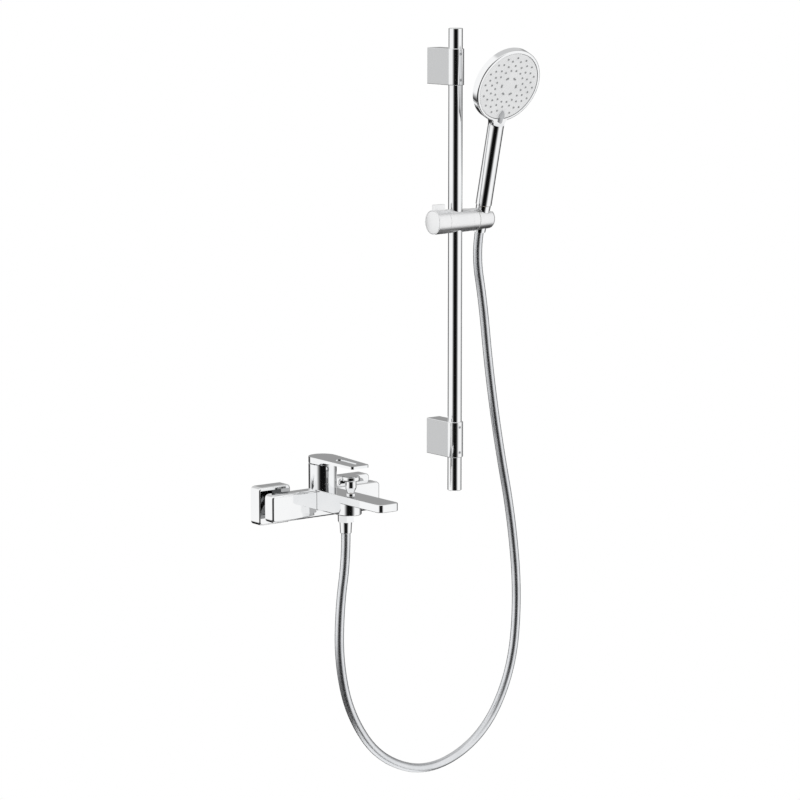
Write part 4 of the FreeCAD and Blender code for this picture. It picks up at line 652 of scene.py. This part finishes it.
@dataclass(frozen=True)
class Turned(Finish):
    """Machined metal: tool lines along its axis and darker tarnish in patches."""

    along: Axis = Axis.UP
    pitch: float = 0.0006
    relief: float = 0.00002
    relief_shown: float = 0.6
    tarnish: Patches = Patches(95.0, (0.4, 0.75), 5.0)
    tarnish_roughness: float = 0.14

    def paint(self, graph: Graph) -> None:
        """Machined metal.

        Args:
            graph: the material's nodes.
        """
        place = graph.object_place()
        tool = graph.parts(place)[list(Axis).index(self.along)].waves(self.pitch)
        tarnish = self.tarnish.over(graph, place)
        graph.surface(
            {"Metallic": 1.0},
            {"Base Color": graph.blend(tarnish, self.colour, self.shade),
             "Roughness": self.roughness + tarnish * self.tarnish_roughness,
             "Normal": graph.bump(tool, self.relief, self.relief_shown)})


@dataclass(frozen=True)
class Cast(Finish):
    """Die-cast zinc: granular skin with small pits."""

    skin_cells: float = 900.0
    skin_detail: float = 4.0
    skin_roughness: float = 0.2
    pit_cells: float = 380.0
    pit_reach: Range = (0.0, 0.2)
    relief: float = 0.00008
    relief_shown: float = 0.7

    def paint(self, graph: Graph) -> None:
        """Cast metal.

        Args:
            graph: the material's nodes.
        """
        place = graph.object_place()
        skin = graph.noise(place, self.skin_cells, self.skin_detail)
        pits = graph.cells(place, self.pit_cells).span(*self.pit_reach)
        graph.surface(
            {"Metallic": 1.0},
            {"Base Color": graph.blend(pits, self.shade, self.colour),
             "Roughness": self.roughness + skin * self.skin_roughness,
             "Normal": graph.bump(skin * pits, self.relief, self.relief_shown)})


@dataclass(frozen=True)
class WoundHose(Finish):
    """Smooth silver hose with the fine spiral groove of its cover, nearly closed."""

    groove_pitch: float = 0.0022
    groove_edge: Range = (0.0, 0.25)
    groove_roughness: float = 0.15
    relief: float = 0.00006
    relief_shown: float = 0.35
    cloud: Patches = Patches(40.0, (0.3, 0.7))

    def paint(self, graph: Graph) -> None:
        """Silver cover, grooved along the hose by its own coordinates.

        Args:
            graph: the material's nodes.
        """
        turn, run, _ = graph.parts(graph.node("ShaderNodeUVMap", {"uv_map": HOSE_LAYER}).outputs["UV"])
        groove = 1 - (run / self.groove_pitch + turn).waves(1.0).span(*self.groove_edge)
        cloud = self.cloud.over(graph, graph.object_place())
        graph.surface(
            {"Metallic": 1.0},
            {"Base Color": graph.blend(cloud, self.colour, self.shade),
             "Roughness": self.roughness + groove * self.groove_roughness,
             "Normal": graph.bump(1 - groove, self.relief, self.relief_shown)})


FINISHES: tuple[Finish, ...] = (
    Plated("polished_chrome", (0.92, 0.925, 0.93), (0.88, 0.89, 0.90), 0.03),
    Faced("bracket_chrome", (0.90, 0.905, 0.91), (0.86, 0.87, 0.88), 0.05),
    Brushed("satin_chrome", (0.90, 0.90, 0.905), (0.86, 0.865, 0.87), 0.26, Axis.ACROSS),
    WoundHose("brushed_hose", (0.78, 0.79, 0.81), (0.72, 0.735, 0.755), 0.25),
    Moulded("pale_face", (0.84, 0.845, 0.85), (0.80, 0.805, 0.81), 0.34),
    Elastic("nozzle_rubber", (0.27, 0.275, 0.28), (0.33, 0.335, 0.34), 0.5),
    Moulded("selector_grey", (0.50, 0.51, 0.52), (0.45, 0.46, 0.47), 0.32),
    Moulded("white_plastic", (0.80, 0.80, 0.77), (0.74, 0.74, 0.70), 0.4),
    Moulded("dark_plastic", (0.03, 0.03, 0.035), (0.045, 0.045, 0.05), 0.42),
    Turned("brass", (0.72, 0.50, 0.22), (0.48, 0.31, 0.13), 0.26, Axis.OUT),
    Elastic("seal_rubber", (0.02, 0.02, 0.022), (0.05, 0.05, 0.052), 0.6),
    Moulded("ceramic", (0.86, 0.84, 0.80), (0.82, 0.80, 0.76), 0.1, 3000.0, 0.000004),
    Turned("steel", (0.62, 0.63, 0.64), (0.50, 0.51, 0.52), 0.24, Axis.UP, 0.0004),
    Cast("zinc_base", (0.55, 0.56, 0.57), (0.42, 0.43, 0.44), 0.45),
)
# The knob's end disc has a finish of its own, given by its place.
KNOB_FACE = Domed("knob_disc", (0.90, 0.90, 0.905), (0.86, 0.865, 0.87), 0.22)


class Paint:
    """All the finishes, each built once, and what gives them to the pieces."""

    def __init__(self) -> None:
        """Builds each finish's material."""
        self.by_slot = {finish.slot: finish.material() for finish in FINISHES}
        self.slot_of = {entry["node"]: entry["material_slot"] for entry in frame["record"]["subparts"]}

    def end_face(self, face: Domed) -> bpy.types.Material:
        """Domed finish for a disc that faces along the wall.

        Args:
            face: the finish, with the disc's node for its slot.

        Returns:
            The material, domed about the disc's own middle.
        """
        low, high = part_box(face.slot)
        middle = tuple((a + b) / 2 for a, b in zip(low, high))
        return replace(face, middle=middle, radius=(high[2] - low[2]) / 2).material()

    def node(self, name: str) -> None:
        """Gives a CAD node its finish through its material slots.

        Args:
            name: the node.
        """
        piece = frame["nodes"][name]
        own_face = name == KNOB_FACE.slot
        finish = self.end_face(KNOB_FACE) if own_face else self.by_slot[self.slot_of[name]]
        if not piece.material_slots:
            piece.data.materials.append(finish)
        for slot in piece.material_slots:
            slot.material = finish

    def piece(self, piece: bpy.types.Object, slot: str) -> None:
        """Gives a new piece its finish.

        Args:
            piece: the new object.
            slot: the finish's slot in the record.
        """
        piece.data.materials.clear()
        piece.data.materials.append(self.by_slot[slot])


@dataclass
class Photographer:
    """The camera, at the photograph's angle."""

    place: Point = (-3.0724, -3.9177, 0.5533)
    turn_deg: float = -37.5
    tilt_deg: float = 9.0
    lens_mm: float = 144.0
    sensor_mm: float = 36.0
    reach: float = 60.0

    def build(self) -> None:
        """Makes the camera and gives it to the scene."""
        lens = bpy.data.cameras.new("camera")
        lens.lens = self.lens_mm
        lens.sensor_width = self.sensor_mm
        lens.clip_end = self.reach
        camera = bpy.data.objects.new("camera", lens)
        camera.location = self.place
        camera.rotation_euler = (math.radians(90 - self.tilt_deg), 0.0, math.radians(self.turn_deg))
        bpy.context.scene.collection.objects.link(camera)
        bpy.context.scene.camera = camera


@dataclass
class ShowerHose:
    """The hose on one smooth line, from the mixer's outlet to the hand shower."""

    diameter: float = 0.014
    sides: int = 28
    ring_step: float = 0.004
    line_steps: int = 48
    line_order: int = 3
    bodies: tuple[str, ...] = ("fixed", "carriage", "slider", "holder", "handset")
    names: tuple[str, ...] = ("hose_long_run", "hose_under_carriage", "hose_under_slider",
                              "hose_under_holder")
    swivel_stretch: float = 0.26
    tilt_stretch: float = 0.10
    lift_stretch: float = 0.088
    route: tuple[Point, ...] = (
        (-0.247, -0.101, -0.40252), (-0.247, -0.101, -0.44452), (-0.2585, -0.101, -0.514),
        (-0.2595, -0.099, -0.600), (-0.235, -0.094, -0.690), (-0.172, -0.087, -0.772),
        (-0.066, -0.077, -0.812), (0.046, -0.069, -0.774), (0.110, -0.063, -0.680),
        (0.128, -0.057, -0.560), (0.118, -0.052, -0.430), (0.094, -0.047, -0.305),
        (0.077, -0.043, -0.185), (0.066, -0.0415, -0.080), (0.052, -0.04054, -0.00443),
        (0.052, -0.04928, 0.03255))

    def line(self) -> list[Vector]:
        """Smooth line of the route, a NURBS spline.

        Returns:
            Close points along it.
        """
        curve = bpy.data.curves.new("hose_route", "CURVE")
        curve.dimensions = "3D"
        curve.resolution_u = self.line_steps
        spline = curve.splines.new("NURBS")
        spline.points.add(len(self.route) - 1)
        for point, place in zip(spline.points, self.route):
            point.co = (*place, 1.0)
        spline.order_u = self.line_order
        spline.use_endpoint_u = True
        holder = bpy.data.objects.new("hose_route", curve)
        bpy.context.scene.collection.objects.link(holder)
        mesh = bpy.data.meshes.new_from_object(holder)
        points = [vertex.co.copy() for vertex in mesh.vertices]
        bpy.data.objects.remove(holder)
        bpy.data.meshes.remove(mesh)
        return points

    def spaced(self, points: Sequence[Vector]) -> list[Vector]:
        """Spreads places evenly along the line.

        Args:
            points: close points along it.

        Returns:
            Places one ring's step apart.
        """
        far = [0.0]
        for before, after in zip(points, points[1:]):
            far.append(far[-1] + (after - before).length)
        count = round(far[-1] / self.ring_step)
        places = []
        index = 0
        for step in range(count + 1):
            goal = far[-1] * step / count
            while index < len(far) - 2 and far[index + 1] < goal:
                index += 1
            share = (goal - far[index]) / max(far[index + 1] - far[index], TINY)
            places.append(points[index].lerp(points[index + 1], min(share, 1.0)))
        return places

    def tube(self, name: str, places: Sequence[Vector], first_run: float) -> bpy.types.Object:
        """A tube along the places, with hose coordinates for its groove.

        Args:
            name: the piece's name.
            places: ring centres.
            first_run: how far along the hose the first ring lies.

        Returns:
            The new mesh object.
        """
        across = Vector((1.0, 0.0, 0.0))
        vertices, runs, run = [], [], first_run
        for index, place in enumerate(places):
            ahead = places[min(index + 1, len(places) - 1)] - places[max(index - 1, 0)]
            ahead.normalize()
            across = (across - ahead * across.dot(ahead)).normalized()
            other = ahead.cross(across)
            if index:
                run += (place - places[index - 1]).length
            runs.append(run)
            for side in range(self.sides):
                angle = FULL_TURN * side / self.sides
                reach = across * math.cos(angle) + other * math.sin(angle)
                vertices.append(place + reach * (self.diameter / 2))
        faces, corners = [], []
        for ring in range(len(places) - 1):
            for side in range(self.sides):
                beside = (side + 1) % self.sides
                low, high = ring * self.sides, (ring + 1) * self.sides
                faces.append((low + side, low + beside, high + beside, high + side))
                around = (side / self.sides, (side + 1) / self.sides)
                corners += [(around[0], runs[ring]), (around[1], runs[ring]),
                            (around[1], runs[ring + 1]), (around[0], runs[ring + 1])]
        mesh = bpy.data.meshes.new(name)
        mesh.from_pydata(vertices, [], faces)
        layer = mesh.uv_layers.new(name=HOSE_LAYER)
        for item, corner in zip(layer.data, corners):
            item.uv = corner
        mesh.polygons.foreach_set("use_smooth", [True] * len(faces))
        piece = bpy.data.objects.new(name, mesh)
        bpy.context.scene.collection.objects.link(piece)
        return piece

    def build(self, paint: Paint) -> None:
        """Makes the hose in four stretches; the last three have given lengths at the hand shower's end.

        Args:
            paint: the finishes.
        """
        places = self.spaced(self.line())
        cuts = [len(places) - 1]
        for stretch in (self.lift_stretch, self.tilt_stretch, self.swivel_stretch):
            cuts.insert(0, cuts[0] - round(stretch / self.ring_step))
        cuts.insert(0, 0)
        for index, name in enumerate(self.names):
            own = places[cuts[index]:cuts[index + 1] + 1]
            piece = self.tube(name, own, self.ring_step * cuts[index])
            paint.piece(piece, "brushed_hose")
            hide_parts("shower_hose")
            length = sum((b - a).length for a, b in zip(own, own[1:]))
            start, end = own[0], own[-1]
            if index == 0:
                # For the long run, the end point is set level with its start, as far across as the loop
                # comes.
                end = Vector((max(p.x for p in own), start.y, start.z))
            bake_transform(piece)
            LOG.info("%s: %.3f m", name, length)


@dataclass
class SubAssembly:
    """Pieces that belong together and are dressed together."""

    title: str
    nodes: tuple[str, ...]

    def build(self, paint: Paint) -> None:
        """Dresses each of the pieces.

        Args:
            paint: the finishes.
        """
        for name in self.nodes:
            paint.node(name)
            LOG.info("%s: %s", self.title, name)


@dataclass
class RiserRail(SubAssembly):
    """Rail, brackets and what holds them."""

    title: str = "riser rail"
    nodes: tuple[str, ...] = ("riser_rail", "rail_end_caps", "upper_bracket", "lower_bracket",
                              "upper_wall_base", "lower_wall_base", "rail_grub_screws",
                              "bracket_lock_screws")


@dataclass
class Slider(SubAssembly):
    """The sliding holder with its clamp."""

    title: str = "slider"
    nodes: tuple[str, ...] = ("slider_bush", "slider_body", "clamp_pad", "clamp_screw", "slider_knob",
                              "knob_disc", "friction_washer", "swivel_collar", "pivot_bolt",
                              "handset_holder")


@dataclass
class HandShower(SubAssembly):
    """The hand shower with its turning face."""

    title: str = "hand shower"
    nodes: tuple[str, ...] = ("hose_cone_nut", "handset_connector", "handset_handle",
                              "handset_water_tube", "head_shell", "spray_chamber", "nozzle_mat",
                              "spray_face", "spray_selector")


@dataclass
class BathMixer(SubAssembly):
    """The mixer's casting and what joins it to the wall and the hose."""

    title: str = "bath mixer"
    nodes: tuple[str, ...] = ("mixer_body", "wall_cover_left", "wall_cover_right", "supply_union_left",
                              "supply_union_right", "union_nuts", "inlet_washers", "aerator_housing",
                              "aerator_insert", "outlet_nipple", "check_valve", "hose_washer",
                              "hose_nut", "hose_ferrule")


@dataclass
class Cartridge(SubAssembly):
    """The ceramic cartridge and the lever that moves it."""

    title: str = "cartridge and lever"
    nodes: tuple[str, ...] = ("cartridge_housing", "cartridge_base", "fixed_ceramic_disc",
                              "moving_ceramic_disc", "disc_driver", "spindle_guide", "spindle_pin",
                              "lever_spindle", "cartridge_nut", "mixer_lever", "lever_grub_screw",
                              "index_plug")


@dataclass
class Diverter(SubAssembly):
    """The lift knob that sends the water to the hose."""

    title: str = "diverter"
    nodes: tuple[str, ...] = ("diverter_knob", "diverter_spindle", "diverter_washer",
                              "diverter_bonnet", "bonnet_seal")


@dataclass(frozen=True)
class Lamp:
    """One soft square lamp that looks at the object and isn't mirrored in it."""

    name: str
    place: Point
    power: float
    size: float = 1.8
    aim: Point = (0.0, 0.0, -0.1)

    def build(self) -> None:
        """Hangs the lamp."""
        light = bpy.data.lights.new(self.name, "AREA")
        light.shape = "SQUARE"
        light.size = self.size
        light.energy = self.power
        lamp = bpy.data.objects.new(self.name, light)
        lamp.location = self.place
        way = Vector(self.aim) - Vector(self.place)
        lamp.rotation_euler = way.to_track_quat("-Z", "Y").to_euler()
        lamp.visible_glossy = False
        bpy.context.scene.collection.objects.link(lamp)


@dataclass
class Studio:
    """White studio. Its dark bands lie in world directions and show in the metal only.

    An edge gives where a band begins and where it is full, as the share of a ray that
    runs in the band's direction. Later means a ray that was mirrored more than once.
    """

    lamps: tuple[Lamp, ...] = (Lamp("key", (2.6, -2.4, 2.4), 34.0),
                               Lamp("fill", (-3.4, -0.9, 1.6), 13.6))
    floor_z: float = -1.6
    floor_size: float = 1.1
    floor_grey: Colour = (0.5, 0.5, 0.5)
    floor_lift: float = 0.62
    day_strength: float = 0.85
    dark_facing: Point = (-0.568, -0.823, 0.0)
    right: Point = (0.794, -0.608, 0.0)
    later: Range = (1.2, 1.8)
    latest: Range = (1.8, 3.4)
    latest_dark: float = 0.8
    front_angles: Range = (56.0, 16.0)
    front_foot: Range = (0.02, 0.1)
    front_head: Range = (0.35, 0.85)
    front_dark: float = 0.995
    behind_edge: Range = (-0.72, -0.42)
    behind_dark: float = 0.66
    behind_later: float = 0.5
    lower_edge: Range = (-0.12, 0.06)
    lower_dark: float = 0.31
    upper_edge: Range = (0.22, 0.42)
    upper_bright: float = 0.3
    beside_back: Range = (-0.45, -0.1)
    beside_right: Range = (0.2, 0.7)
    beside_dark: float = 0.55
    left_edge: Range = (-0.3, 0.3)
    left_lift: float = 0.3
    below_edge: Range = (-0.8, -0.55)
    below_dark: float = 0.9

    def shown_to_rays(self, graph: Graph, paths: bpy.types.bpy_prop_collection) -> Value:
        """Picks the rays that see the background: camera, glossy and transmission rays.

        Args:
            graph: the nodes it works in.
            paths: the Light Path node's outputs.

        Returns:
            One for these rays, nothing for the others.
        """
        clear = graph.maths("MAXIMUM", Value(graph, paths["Is Camera Ray"]),
                            Value(graph, paths["Is Transmission Ray"]))
        return graph.maths("MAXIMUM", clear, Value(graph, paths["Is Glossy Ray"]))

    def floor(self) -> None:
        """Pale floor that shows white and keeps a faint shadow."""
        half = self.floor_size / 2
        mesh = bpy.data.meshes.new("floor")
        corners = [(-half, -half), (half, -half), (half, half), (-half, half)]
        mesh.from_pydata([(x, y, self.floor_z) for x, y in corners], [], [(0, 1, 2, 3)])
        floor = bpy.data.objects.new("floor", mesh)
        bpy.context.scene.collection.objects.link(floor)
        material = bpy.data.materials.new("floor")
        material.use_nodes = True
        graph = Graph(material.node_tree)
        seen = self.shown_to_rays(graph, graph.node("ShaderNodeLightPath").outputs)
        matt = graph.node("ShaderNodeBsdfDiffuse", None, {"Color": (*self.floor_grey, 1.0)})
        white = graph.node("ShaderNodeEmission", None,
                           {"Color": (*WHITE, 1.0), "Strength": seen * self.floor_lift})
        both = graph.node("ShaderNodeAddShader", None, {0: matt.outputs[0], 1: white.outputs[0]})
        graph.node("ShaderNodeOutputMaterial", None, {"Surface": both.outputs[0]})
        mesh.materials.append(material)

    def bands(self, graph: Graph, ray: Socket, mirrored: Value) -> Value:
        """White that the dark bands leave.

        Args:
            graph: the world's nodes.
            ray: the ray's direction.
            mirrored: how often the ray was mirrored.

        Returns:
            Share of the white, from 0 to 1.
        """
        level = graph.stretched(ray, (1.0, 1.0, 0.0))
        level = graph.node("ShaderNodeVectorMath", {"operation": "NORMALIZE"}, {0: level}).outputs[0]
        facing = graph.along(level, self.dark_facing)
        rightwards = graph.along(level, self.right)
        height = graph.parts(ray)[2]
        first = 1 - mirrored.span(*self.later)
        sides = [math.cos(math.radians(angle)) for angle in self.front_angles]
        foot = first + (1 - first) * height.span(*self.front_foot)
        front = facing.span(*sides) * foot * (1 - height.span(*self.front_head))
        lower = 1 - height.span(*self.lower_edge)
        upper = height.span(*self.upper_edge)
        behind = 1 - facing.span(*self.behind_edge)
        behind = behind * (first * (1 - self.behind_later) + self.behind_later)
        behind = behind * (self.behind_dark + lower * self.lower_dark - upper * self.upper_bright)
        beside = (1 - facing.span(*self.beside_back)) * rightwards.span(*self.beside_right)
        left = 1 - rightwards.span(*self.left_edge)
        below = 1 - (height - left * self.left_lift).span(*self.below_edge)
        shown = (1 - front * self.front_dark) * (1 - behind) * (1 - beside * self.beside_dark)
        deep = mirrored.span(*self.latest)
        return shown * (1 - below * self.below_dark) * (1 - deep * self.latest_dark)

    def world(self) -> None:
        """World: white to the camera, bands to the metal, plain light to the rest."""
        world = bpy.data.worlds.new("studio")
        world.use_nodes = True
        bpy.context.scene.world = world
        graph = Graph(world.node_tree)
        ray = graph.node("ShaderNodeTexCoord").outputs["Generated"]
        paths = graph.node("ShaderNodeLightPath").outputs
        shown = self.bands(graph, ray, Value(graph, paths["Glossy Depth"]))
        seen = self.shown_to_rays(graph, paths)
        glossy = Value(graph, paths["Is Glossy Ray"])
        strength = seen * (1 - glossy * (1 - shown)) + (1 - seen) * self.day_strength
        light = graph.node("ShaderNodeBackground", None, {"Color": (*WHITE, 1.0), "Strength": strength})
        graph.node("ShaderNodeOutputWorld", None, {"Surface": light.outputs[0]})

    def build(self) -> None:
        """Floor, world and lamps."""
        self.floor()
        self.world()
        for lamp in self.lamps:
            lamp.build()
        bpy.context.scene.view_settings.view_transform = "Standard"


def main() -> None:
    """Builds the camera and hose first, then dresses each sub-assembly and lights it."""
    logging.basicConfig(level=logging.INFO, format="%(name)s: %(message)s")
    Photographer().build()
    paint = Paint()
    ShowerHose().build(paint)
    for assembly in (RiserRail(), Slider(), HandShower(), BathMixer(), Cartridge(), Diverter()):
        assembly.build(paint)
    Studio().build()


if __name__ == "__main__":
    main()
